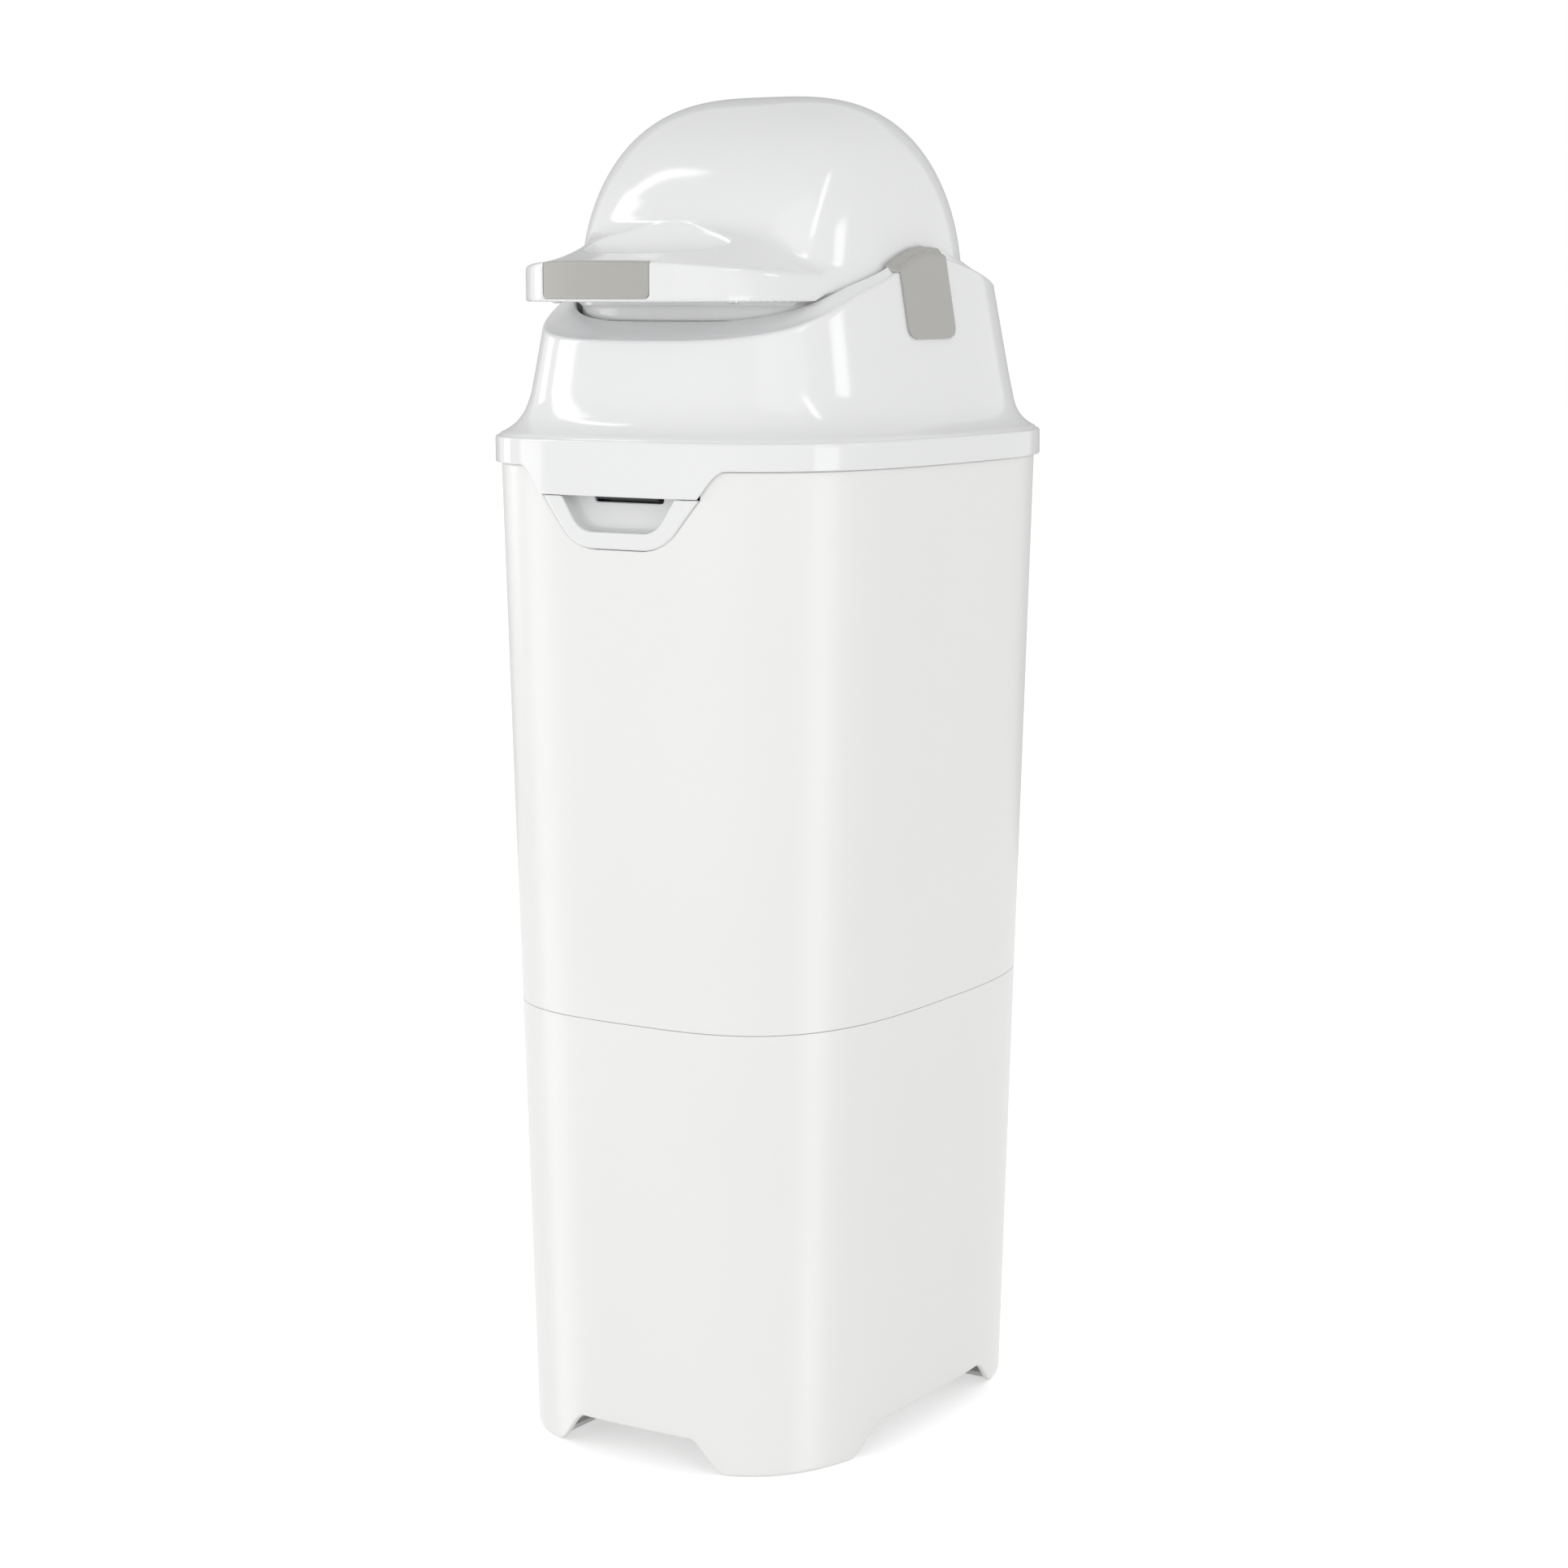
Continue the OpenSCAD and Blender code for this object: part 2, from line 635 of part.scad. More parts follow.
// Right side of the tab, from its bottom corner out to the flange's lower edge
function tab_side() = [
    for (k = [0:10]) let (s = k / 10)
        [tab_half + tab_spread * s, tab_bottom_z + tab_drop * pow(sin(90 * s), 1.15)]
];
module lid_tab() {
    top_z = body_top_z + 1;
    right = concat(tab_side(), [[tab_half + tab_spread, top_z]]);
    left = [for (k = [len(right) - 1:-1:0]) [-right[k].x, right[k].y]];
    skin = flange_over - seat_gap - 0.2;
    intersection() {
        along_y(-flange_b - 5, -flange_b + 40) polygon(concat(right, left));
        hoop_loft([
            at_height(superellipse(flange_a, flange_b, plan_n), tab_bottom_z - 5),
            at_height(superellipse(flange_a, flange_b, plan_n), top_z),
            at_height(superellipse(flange_a - skin, flange_b - skin, plan_n), top_z),
            at_height(superellipse(flange_a - skin, flange_b - skin, plan_n), tab_bottom_z - 5)
        ]);
    }
}
module collar_shell() {
    inner_a = flange_a - flange_hollow;
    inner_b = flange_b - flange_hollow;
    color([0.92, 0.92, 0.92]) difference() {
        union() {
            house_solid();
            // Skirt that locates the lid inside the body's top edge
            oval_hoop(inner_a + 2.2, inner_b + 2.2, plan_n, 2.2 + eps, body_top_z - 8, body_top_z + 1);
            lid_tab();
            along_x(-lid_knuckle_half, lid_knuckle_half) {
                translate([hinge_y, hinge_z]) circle(r = knuckle_r);
                polygon([[flange_b - 3, body_top_z + 0.5], [hinge_y, hinge_z - 3.4], [hinge_y, hinge_z + knuckle_r],
                    [flange_b - 3, hinge_z + knuckle_r]]);
            }
        }
        difference() {
            house_hollow();
            well(skirt_t, skirt_z, pivot_z + 60);
            for (spot = lid_screw_spots) rod_z(lid_boss_r, underplate_z + underplate_t + 0.1, pivot_z, spot.x, spot.y);
            both_sides() {
                rod_x(bush_r + 5, well_a - 4, flange_a, 0, pivot_z);
                block([well_a - 4, -bush_r - 5, pivot_z], [flange_a, bush_r + 5, pivot_z + 40]);
            }
        }
        well(0, body_top_z - 20, pivot_z + 60);
        pivot_slot(bush_gap);
        rod_x(hinge_pin_r + pin_gap, -lid_knuckle_half - 1, lid_knuckle_half + 1, hinge_y, hinge_z);
        for (spot = lid_screw_spots) rod_z(screw_r, underplate_z, underplate_z + 14, spot.x, spot.y);
    }
}

module lid_underplate() {
    color([0.85, 0.86, 0.87]) difference() {
        union() {
            oval_prism(flange_a - flange_hollow - underplate_gap, flange_b - flange_hollow - underplate_gap, plan_n,
                underplate_z, underplate_z + underplate_t);
            // Lip round the drop hole, which keeps liquid off the plate
            oval_hoop(drop_hole_a + 2.5, drop_hole_b + 2.5, plan_n, 2.5, underplate_z, underplate_z + underplate_t + 4);
        }
        oval_prism(drop_hole_a, drop_hole_b, plan_n, underplate_z - 1, underplate_z + underplate_t + 6);
        for (spot = lid_screw_spots)
            rod_z(screw_r + 0.1, underplate_z - 1, underplate_z + underplate_t + 1, spot.x, spot.y);
        for (x = [-lever_bar_half + 8, lever_bar_half - 8])
            rod_z(screw_r, underplate_z - 1, underplate_z + underplate_t + 1, x, hook_y + 8);
    }
}
module underplate_screws() {
    color("silver") for (spot = lid_screw_spots) {
        rod_z(screw_r - 0.05, underplate_z - eps, underplate_z + 12, spot.x, spot.y);
        rod_z(screw_head_r, underplate_z - screw_head_h, underplate_z, spot.x, spot.y);
    }
}
module lid_gasket() {
    color([0.45, 0.46, 0.47])
        oval_hoop(gasket_a, gasket_b, plan_n, gasket_w, ring_top_z + seat_gap, underplate_z - 0.05, ring_back);
}
module drum_seal() {
    color([0.45, 0.46, 0.47]) difference() {
        well(skirt_t, skirt_z - 3.8, skirt_z - 0.1);
        drum_solid(0.4);
    }
}
module seal_retainer() {
    color([0.85, 0.86, 0.87]) difference() {
        union() {
            oval_hoop(well_a + skirt_t + 2.3, well_b + skirt_t + 2.3, well_n, 2.2, skirt_z - 7, skirt_z + 6);
            well(skirt_t + 1, skirt_z - 7, skirt_z - 4);
        }
        drum_solid(sweep_gap);
    }
}

hook_y = latch_y - lever_t / 2 - 2.5;
hook_leg_x = lever_half + 4.5;
module latch_hook() {
    leg_w = 6;
    barb_z = lever_bar_z - 3.6;
    color([0.30, 0.31, 0.32]) difference() {
        union() {
            block([-lever_bar_half, hook_y, underplate_z - 2.4], [lever_bar_half, hook_y + 13, underplate_z - 0.05]);
            both_sides() {
                block([hook_leg_x, hook_y, barb_z], [hook_leg_x + leg_w, hook_y + 1.7, underplate_z - 1]);
                block([hook_leg_x, hook_y, barb_z], [hook_leg_x + leg_w, hook_y + 2.2, barb_z + 2.8]);
            }
        }
        for (x = [-lever_bar_half + 8, lever_bar_half - 8])
            rod_z(screw_r + 0.1, underplate_z - 4, underplate_z + 1, x, hook_y + 8);
    }
}
module hook_screws() {
    color("silver") for (x = [-lever_bar_half + 8, lever_bar_half - 8]) {
        rod_z(screw_r - 0.05, underplate_z - 2.4 - eps, underplate_z + underplate_t, x, hook_y + 8);
        rod_z(screw_head_r, underplate_z - 2.4 - 1.4, underplate_z - 2.4, x, hook_y + 8);
    }
}

module bearing() {
    difference() {
        rod_x(bush_r, well_a + 0.2, well_a + bush_w, 0, pivot_z);
        rod_x(pivot_r + pin_gap, well_a - 1, well_a + bush_w + 1, 0, pivot_z);
    }
}
module bearing_left() { color([0.75, 0.76, 0.77]) mirror([1, 0, 0]) bearing(); }
module bearing_right() { color([0.75, 0.76, 0.77]) bearing(); }

function clip_outline() = eased([
    [-clip_half, pivot_z - clip_bottom], [clip_half, pivot_z - clip_bottom],
    [clip_half, pivot_z + 40], [-clip_half, pivot_z + 40]
], [clip_corner, clip_corner, 0, 0]);
module saddle_clip() {
    difference() {
        intersection() {
            along_x(well_a + 0.1, flange_a) polygon(clip_outline());
            difference() {
                house_solid(seat_gap + clip_t);
                house_solid(0.2);
            }
        }
        well(0.1, body_top_z, pivot_z + 60);
    }
    // Tongue that holds the bush down in its slot
    block([well_a + 0.2, -bush_r + 0.3, pivot_z + bush_r + 0.1], [well_a + 4.2, bush_r - 0.3, rim_z(0) - 0.6]);
}
module saddle_clip_left() { color([0.70, 0.70, 0.68]) mirror([1, 0, 0]) saddle_clip(); }
module saddle_clip_right() { color([0.70, 0.70, 0.68]) saddle_clip(); }

// ---- drum ----

function drum_profile(grow) = [
    for (k = [-16:16]) let (t = 90 * k / 16)
        [(drum_r + grow) * pow(max(0, cos(t)), 2 / drum_n), (drum_a + grow) * signed_pow(sin(t), 2 / drum_n)]
];
module drum_solid(grow) {
    translate([0, 0, pivot_z]) rotate([0, 90, 0]) rotate_extrude() polygon(drum_profile(grow));
}
function visor_outline(grow, reach = 0) = [
    for (i = [0:ring_points - 1])
        let (
            t = 360 * i / ring_points,
            back = sin(t) > 0,
            b = back ? visor_rear_b : visor_b + grow - reach
        )
        [(visor_a + grow - reach * 0.3) * signed_pow(cos(t), 2 / visor_n), visor_mid_y + b * signed_pow(sin(t), 2 / visor_n)]
];
// Height of the visor's top edge, which falls towards the sides
function edge_z(p) = visor_edge_z - visor_side_fall * pow(abs(p.x) / visor_a, 3);
function visor_top_ring(grow, reach, rise) = [
    for (p = visor_outline(grow, reach)) [p.x, p.y, edge_z(p) + rise]
];
module visor_solid() {
    steps = 7;
    bottom_r = 1.2;
    capped_loft(concat(
        [
            at_height(visor_outline(-bottom_r), visor_bottom_z),
            at_height(visor_outline(0), visor_bottom_z + bottom_r),
            visor_top_ring(0, 0, -2.2),
            visor_top_ring(-0.8, 0, -0.6)
        ],
        [
            for (k = [0:steps]) let (s = k / steps)
                visor_top_ring(-2.2, visor_reach * 0.95 * s,
                    (visor_root_z - visor_edge_z) * pow(s, 1.7) + 1.2 * s)
        ]
    ));
}
// Room over the rim that the visor's underside keeps clear
module rim_clearance() {
    capped_loft([
        [for (p = well_ring(40, 0)) [p.x, p.y, body_top_z]],
        [for (p = well_ring(40, 0)) [p.x, p.y, rim_z(p.y) + sweep_gap + 0.3]]
    ]);
}
module visor_void(grow, z0, z1) {
    translate([0, 0, z0]) linear_extrude(z1 - z0) polygon(visor_outline(-visor_skin - grow));
}
module cover_posts(r, z0) {
    both_sides() rod_z(r, z0, visor_void_z + 1, cover_screw_x, cover_screw_y);
}
// Hollow for a thumb: an oval in the visor's top with a flat back wall in the dome
module scoop() {
    translate([0, 0, scoop_floor_z]) linear_extrude(40) polygon([
        for (k = [0:47]) let (t = 360 * k / 48)
            [scoop_half * cos(t), min(scoop_y + scoop_reach * sin(t), scoop_back_y)]
    ]);
}
module pad_block(gap) {
    block([-pad_half - gap, -drum_r - visor_reach - 5, visor_bottom_z + 0.6 - gap],
        [pad_half + gap, -drum_r - visor_reach + pad_t + gap, visor_edge_z + 5]);
}
module drum_dome() {
    color([0.93, 0.93, 0.93]) difference() {
        union() {
            difference() {
                drum_solid(0);
                difference() {
                    drum_solid(-drum_wall);
                    // The wall is thicker behind the thumb scoop
                    block([-drum_a, -drum_r, pivot_z - drum_r], [drum_a, scoop_back_y + drum_wall, pivot_z + drum_r]);
                }
            }
            difference() {
                visor_solid();
                drum_solid(-drum_wall / 2);
                difference() {
                    visor_void(0, visor_bottom_z - 1, visor_void_z);
                    drum_solid(0);
                    cover_posts(4, visor_bottom_z + cover_t + 0.3);
                }
                rim_clearance();
                pad_block(0.25);
                both_sides() rod_z(screw_r, visor_bottom_z, visor_void_z - 1, cover_screw_x, cover_screw_y);
            }
            intersection() {
                both_sides() for (y = [-drum_screw_y, drum_screw_y])
                    rod_z(drum_boss_r, pivot_z - split_drop, pivot_z + drum_r, drum_screw_x, y);
                drum_solid(-drum_wall / 2);
            }
        }
        scoop();
        block([-200, -drum_r - 5, pivot_z - 2 * drum_r], [200, drum_r + 20, pivot_z - split_drop]);
        both_sides() {
            rod_x(pivot_r + pin_gap, drum_a - 10, drum_a + 10, 0, pivot_z);
            for (y = [-drum_screw_y, drum_screw_y])
                rod_z(screw_r, pivot_z - split_drop - 1, pivot_z - split_drop + 14, drum_screw_x, y);
        }
    }
}
module handle_cover() {
    color([0.88, 0.88, 0.88]) difference() {
        visor_void(seat_gap, visor_bottom_z + 0.2, visor_bottom_z + cover_t);
        drum_solid(seat_gap);
        rim_clearance();
        both_sides() rod_z(screw_r + 0.1, visor_bottom_z - 1, visor_bottom_z + 5, cover_screw_x, cover_screw_y);
    }
}
module cover_screws() {
    head_z = visor_bottom_z + 0.2 - 1.2;
    color("silver") both_sides() {
        rod_z(screw_head_r, head_z, head_z + 1.2, cover_screw_x, cover_screw_y);
        rod_z(screw_r - 0.05, head_z, visor_void_z - 2, cover_screw_x, cover_screw_y);
    }
}
module grip_pad() {
    color([0.71, 0.71, 0.69]) intersection() {
        visor_solid();
        pad_block(0);
    }
}
module chute_barrel() {
    floor_low = pivot_z - mouth_drop;
    top = pivot_z - split_drop - 0.2;
    color([0.90, 0.90, 0.90]) difference() {
        union() {
            difference() {
                drum_solid(0);
                drum_solid(-drum_wall);
            }
            intersection() {
                drum_solid(-drum_wall / 2);
                union() {
                    block([-drum_a, -drum_r, floor_low], [drum_a, drum_r, floor_low + barrel_floor_t]);
                    both_sides() for (y = [-drum_screw_y, drum_screw_y])
                        rod_z(drum_boss_r + 1.5, floor_low, top, drum_screw_x, y);
                }
            }
        }
        block([-200, -200, top], [200, 200, pivot_z + 2 * drum_r]);
        block([-200, -200, pivot_z - 2 * drum_r], [200, 200, floor_low]);
        rod_z(chute_r - mouth_lip, floor_low - 1, floor_low + 10, 0, 0);
        both_sides() for (y = [-drum_screw_y, drum_screw_y]) {
            rod_z(screw_head_r + 0.6, floor_low - 1, top - 8, drum_screw_x, y);
            rod_z(screw_r + 0.1, top - 9, top + 1, drum_screw_x, y);
        }
        rod_z(chute_r + chute_wall + 0.1, floor_low + barrel_floor_t, top + 1, 0, 0);
    }
}
module chute_tube() {
    low = pivot_z - mouth_drop + barrel_floor_t + 0.05;
    top = piston_low + piston_h + piston_travel - piston_stand;
    color([0.88, 0.89, 0.90]) difference() {
        rod_z(chute_r + chute_wall, low, top, 0, 0);
        rod_z(chute_r, low - 1, top + 1, 0, 0);
    }
}
module drum_screws() {
    seat = pivot_z - split_drop - 0.2 - 8;
    color("silver") both_sides() for (y = [-drum_screw_y, drum_screw_y]) {
        rod_z(screw_head_r, seat - 2, seat, drum_screw_x, y);
        rod_z(screw_r - 0.05, seat - eps, seat + 20, drum_screw_x, y);
    }
}
module pivot_pin() {
    inside = drum_a - drum_wall - 0.2;
    rod_x(pivot_r, inside - eps, well_a + pivot_pin_end, 0, pivot_z);
    rod_x(pivot_flange_r, inside - pivot_flange_t, inside, 0, pivot_z);
}
module pivot_pin_left() { color([0.80, 0.80, 0.80]) mirror([1, 0, 0]) pivot_pin(); }
module pivot_pin_right() { color([0.80, 0.80, 0.80]) pivot_pin(); }

// ---- piston ----

piston_low = pivot_z - mouth_drop + barrel_floor_t + seat_gap;
// The tube ends under the dome, and the raised piston stands a little out of it
crown_z = pivot_z + sqrt(pow(drum_r - drum_wall, 2) - pow(chute_r + chute_wall, 2));
piston_stand = 3.7;
// How far the piston slides in the chute
piston_travel = crown_z - tube_crown_gap + piston_stand - piston_low - piston_h;
piston_r = chute_r - 0.6;
seal_groove_z = piston_low + 11;
module piston() {
    color([0.85, 0.86, 0.88]) difference() {
        union() {
            rod_z(piston_r, piston_low, piston_low + piston_h, 0, 0);
            rod_z(chute_r - mouth_lip - 0.6, piston_low - 2.2, piston_low + eps, 0, 0);
        }
        rod_z(piston_r - 4.5, piston_low + 2.6, piston_low + piston_h + 1, 0, 0);
        difference() {
            rod_z(piston_r + 1, seal_groove_z, seal_groove_z + 4, 0, 0);
            rod_z(piston_r - 1.6, seal_groove_z - 1, seal_groove_z + 5, 0, 0);
        }
    }
}
module piston_seal() {
    color([0.35, 0.36, 0.37]) difference() {
        rod_z(chute_r - seat_gap, seal_groove_z + 0.1, seal_groove_z + 3.9, 0, 0);
        rod_z(piston_r - 1.55, seal_groove_z - 1, seal_groove_z + 5, 0, 0);
    }
}

base_shell();
bin_shell();
latch_cup();
latch_pin();
latch_spring();
bag_ring();
hinge_bracket();
hinge_screws();
hinge_pin();
latch_lever();
collar_shell();
lid_underplate();
underplate_screws();
lid_gasket();
drum_seal();
seal_retainer();
latch_hook();
hook_screws();
bearing_left();
bearing_right();
saddle_clip_left();
saddle_clip_right();
drum_dome();
handle_cover();
cover_screws();
grip_pad();
chute_barrel();
chute_tube();
drum_screws();
pivot_pin_left();
pivot_pin_right();
piston();
piston_seal();
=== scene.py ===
# %% [markdown]
# # A nappy bin in Blender
# The real object is a tall bin for used nappies. A tapered body stands on four feet, a lid unit
# sits on top of it, and a round drum with a visor flips over to drop its load inside. The exact
# construction was made in CAD and is loaded here as a fixed frame. Each piece that shows is then
# rebuilt as a smooth mesh in the same place, and gets its own finish. Lengths are written in
# millimetres and turned into metres when a mesh is made.

# %% Load the frame
import json
import math

import bmesh
import bpy
import numpy as np
from mathutils import Matrix, Vector

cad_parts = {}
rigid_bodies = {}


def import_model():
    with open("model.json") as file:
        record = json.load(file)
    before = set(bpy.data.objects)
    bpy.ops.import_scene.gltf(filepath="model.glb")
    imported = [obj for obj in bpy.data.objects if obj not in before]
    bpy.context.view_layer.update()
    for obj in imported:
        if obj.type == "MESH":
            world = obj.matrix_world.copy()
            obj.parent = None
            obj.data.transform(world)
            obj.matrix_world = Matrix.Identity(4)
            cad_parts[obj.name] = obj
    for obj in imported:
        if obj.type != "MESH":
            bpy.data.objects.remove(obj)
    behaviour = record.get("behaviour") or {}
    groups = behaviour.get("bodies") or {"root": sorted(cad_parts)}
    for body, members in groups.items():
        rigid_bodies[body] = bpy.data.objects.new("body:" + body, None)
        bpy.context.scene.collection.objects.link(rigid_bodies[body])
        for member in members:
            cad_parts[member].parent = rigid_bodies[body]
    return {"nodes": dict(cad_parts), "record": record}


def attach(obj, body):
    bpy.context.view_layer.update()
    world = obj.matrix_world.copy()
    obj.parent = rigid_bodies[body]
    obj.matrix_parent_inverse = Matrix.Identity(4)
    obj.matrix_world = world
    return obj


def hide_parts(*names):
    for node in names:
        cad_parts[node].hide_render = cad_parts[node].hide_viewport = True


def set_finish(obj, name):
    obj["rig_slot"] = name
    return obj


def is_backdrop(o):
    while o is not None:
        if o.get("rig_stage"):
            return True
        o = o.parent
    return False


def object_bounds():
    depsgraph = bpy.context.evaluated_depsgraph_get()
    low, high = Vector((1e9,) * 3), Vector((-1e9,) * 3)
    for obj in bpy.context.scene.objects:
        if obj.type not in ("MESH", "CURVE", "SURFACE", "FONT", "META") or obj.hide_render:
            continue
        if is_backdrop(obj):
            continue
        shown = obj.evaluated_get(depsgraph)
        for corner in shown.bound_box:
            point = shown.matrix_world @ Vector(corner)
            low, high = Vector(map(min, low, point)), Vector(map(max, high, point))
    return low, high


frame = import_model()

cad_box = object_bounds()
MM = 0.001
scene = bpy.context.scene
print("nodes:", len(frame["nodes"]))
slot_of_node = {entry["node"]: entry["material_slot"] for entry in frame["record"]["subparts"]}

# %% [markdown]
# ## Camera
# A long lens keeps the walls of a tall object nearly straight. The camera stands as high as the
# drum's pivot and looks down by less than ten degrees, so the drum, the front latch and the right
# side all show. It is made first, because every later choice is judged through it.

# %% Place the camera
def placed(name, data):
    """A new object in the scene."""
    thing = bpy.data.objects.new(name, data)
    scene.collection.objects.link(thing)
    return thing


camera_data = bpy.data.cameras.new("camera")
camera_data.lens = 75.5
camera_data.sensor_width = 36
camera = placed("camera", camera_data)
camera.location = (0.9522, -1.4953, 0.6097)
camera.rotation_euler = (math.radians(81.411), 0, math.radians(32.32))
scene.camera = camera
print("camera distance from the bin's axis:", round(math.hypot(*camera.location[:2]), 3), "m")

# %% [markdown]
# ## Ovals
# Most mouldings of this bin have the same plan: an oval with full sides and round corners. A
# superellipse draws it with three numbers, two half widths and an exponent. Its points would
# bunch up at the corners, so the angles are first spaced evenly along the outline.

# %% Draw evenly spaced ovals
PLAN_N = 3.2


def power(value, exponent):
    """A power that keeps the sign."""
    return np.sign(value) * np.abs(value) ** exponent


def even_angles(a, b, n, count):
    """Angles whose points lie at even steps along an oval's outline."""
    fine = np.linspace(0, 2 * np.pi, 40001)
    x, y = a * power(np.cos(fine), 2 / n), b * power(np.sin(fine), 2 / n)
    length = np.concatenate([[0], np.cumsum(np.hypot(np.diff(x), np.diff(y)))])
    return np.interp(np.arange(count) * length[-1] / count, length, fine)


def oval(a, b, n, angles, back=0.0):
    """The x and y of an oval's points."""
    return a * power(np.cos(angles), 2 / n), back + b * power(np.sin(angles), 2 / n)


around = even_angles(110, 146, PLAN_N, 640)
print("points round the body:", len(around))

# %% [markdown]
# ## Making a mesh into a piece
# A moulding is a stack of rings joined by four-sided faces. Where the last ring joins the first
# one, the result is a closed hoop with real wall thickness. Small blocks are prisms, and several
# meshes can be joined into one. Each mesh becomes a piece that rides on its CAD body and stands
# for the CAD nodes it replaces.

# %% Turn rings into meshes
def ring_faces(rows, count, hoop=False):
    """Four-sided faces between rings of points."""
    last = rows if hoop else rows - 1
    faces = []
    for k in range(last):
        low, high = k * count, ((k + 1) % rows) * count
        faces += [(low + i, low + (i + 1) % count, high + (i + 1) % count, high + i)
                  for i in range(count)]
    return faces


def mesh_from(points, faces):
    """A mesh in metres from points in millimetres, with every face turned outward."""
    mesh = bpy.data.meshes.new("mesh")
    mesh.from_pydata((np.asarray(points, float) * MM).tolist(), [], faces)
    work = bmesh.new()
    work.from_mesh(mesh)
    bmesh.ops.recalc_face_normals(work, faces=work.faces)
    work.to_mesh(mesh)
    work.free()
    return mesh


def prism(outline, low, high):
    """An upright prism from an outline of (x, y) points."""
    count = len(outline)
    points = [(x, y, low) for x, y in outline] + [(x, y, high) for x, y in outline]
    faces = [(i, (i + 1) % count, count + (i + 1) % count, count + i) for i in range(count)]
    faces += [tuple(range(count)), tuple(range(count, 2 * count))]
    return mesh_from(points, faces)


def joined(meshes):
    """One mesh from several."""
    work = bmesh.new()
    for mesh in meshes:
        work.from_mesh(mesh)
    result = bpy.data.meshes.new("mesh")
    work.to_mesh(result)
    work.free()
    return result


def as_piece(name, mesh, body, replaces=(), slot=None, sharp=32):
    """A shown piece, smooth except over edges sharper than the angle, with its node's slot."""
    slot, mesh.name = slot or slot_of_node[replaces[0]], name
    piece = placed(name, mesh)
    mesh.shade_smooth()
    mesh.set_sharp_from_angle(angle=math.radians(sharp))
    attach(piece, body)
    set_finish(piece, slot)
    if replaces:
        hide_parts(*replaces)
    print(f"{name}: {len(mesh.polygons)} faces on {body}")


def loft(rings, hoop=True, caps=False):
    """A mesh through rings, each an (x, y, z) triple of arrays."""
    count = len(rings[0][0])
    points = np.concatenate([np.column_stack([np.broadcast_to(c, count) for c in ring])
                             for ring in rings])
    faces = ring_faces(len(rings), count, hoop)
    if caps:
        faces += [tuple(range(count)), tuple(range((len(rings) - 1) * count, len(rings) * count))]
    return mesh_from(points, faces)


# %% [markdown]
# ## Lower body shell
# The base is a tapered tub. Its bottom edge is cut by a long low arch on each side, so that only
# the four corners stand on the floor. A Boolean cut would leave a hard edge, so the arch is put
# straight into the bottom ring instead: each column of points starts at the height of the arch.
# Small steps inward at the edge make the soft radius that a moulded rim has. A thin sole closes
# each hollow foot from below.

# %% Build the base shell
SEAM_Z, BODY_TOP_Z, WALL = 234.8, 520.0, 2.6
FOOT_X, FOOT_Y = 53.5, 77.0
FLOOR_LOW, FLOOR_HIGH = 22, 25
SIDES = (-1, 1)


def body_half(z):
    """Half width and half depth of the body at a height."""
    return 101.5 + 0.0272 * z, 137 + 0.0196 * z


def body_ring(z, inset=0.0, angles=around):
    a, b = body_half(z)
    return (*oval(a - inset, b - inset, PLAN_N, angles), z)


def arch(position, flat, half, height):
    """Height of an arch: flat in the middle, with an S-shaped shoulder down to the floor."""
    s = np.clip((np.abs(position) - flat) / (half - flat), 0, 1)
    return height * (1 + np.cos(np.pi * s)) / 2


foot_x, foot_y, _ = body_ring(0)
end_arches = np.where(np.abs(foot_y) > 100, arch(foot_x, 33, FOOT_X, 17.5), 0)
side_arches = np.where(np.abs(foot_x) > 70, arch(foot_y, 52, FOOT_Y, 15.5), 0)
foot_edge = np.maximum(end_arches, side_arches)
base_rings = [body_ring(FLOOR_LOW, WALL), body_ring(foot_edge + 1.6, WALL)]
base_rings += [body_ring(foot_edge + up, inset) for inset, up in
               ((2.4, 0.5), (1.9, 0.05), (1.0, 0), (0.5, 0.15), (0.15, 0.5), (0, 1.1))]
base_rings += [body_ring(foot_edge + (SEAM_Z - 2 - foot_edge) * s) for s in np.linspace(0.01, 1, 9)]
base_rings += [body_ring(SEAM_Z - down, inset) for down, inset in
               ((0.6, 0), (0.32, 0.06), (0.16, 0.22), (0.1, 0.5), (0.1, WALL))]
base_rings += [body_ring(FLOOR_HIGH, WALL)]
tub_mesh = loft(base_rings, hoop=False, caps=True)

foot_outline = [(x, y) for x, y in zip(*body_ring(0, 1.3)[:2]) if x > FOOT_X and y > FOOT_Y]
foot_outline.append((FOOT_X, FOOT_Y))
soles = [prism([(side * x, end * y) for x, y in foot_outline], 0.3, 2.6)
         for side in SIDES for end in SIDES]
base_mesh = joined([tub_mesh, *soles])
as_piece("base_shell_skin", base_mesh, "bin", ["base_shell"])

# %% [markdown]
# ## Upper body shell
# The upper shell is a tube with a deep notch at the front, where the latch cup sits. The notch is
# made the same way as the arches, by giving each column its own top height. Extra columns are
# added round the notch, because its slanted sides need more points than the plain walls.

# %% Build the bin shell
def front_angles(positions):
    """Angles of the front outline at chosen distances from the middle."""
    share = np.abs(positions) / body_half(BODY_TOP_Z)[0]
    return 2 * np.pi - np.arccos(np.sign(positions) * share ** (PLAN_N / 2))


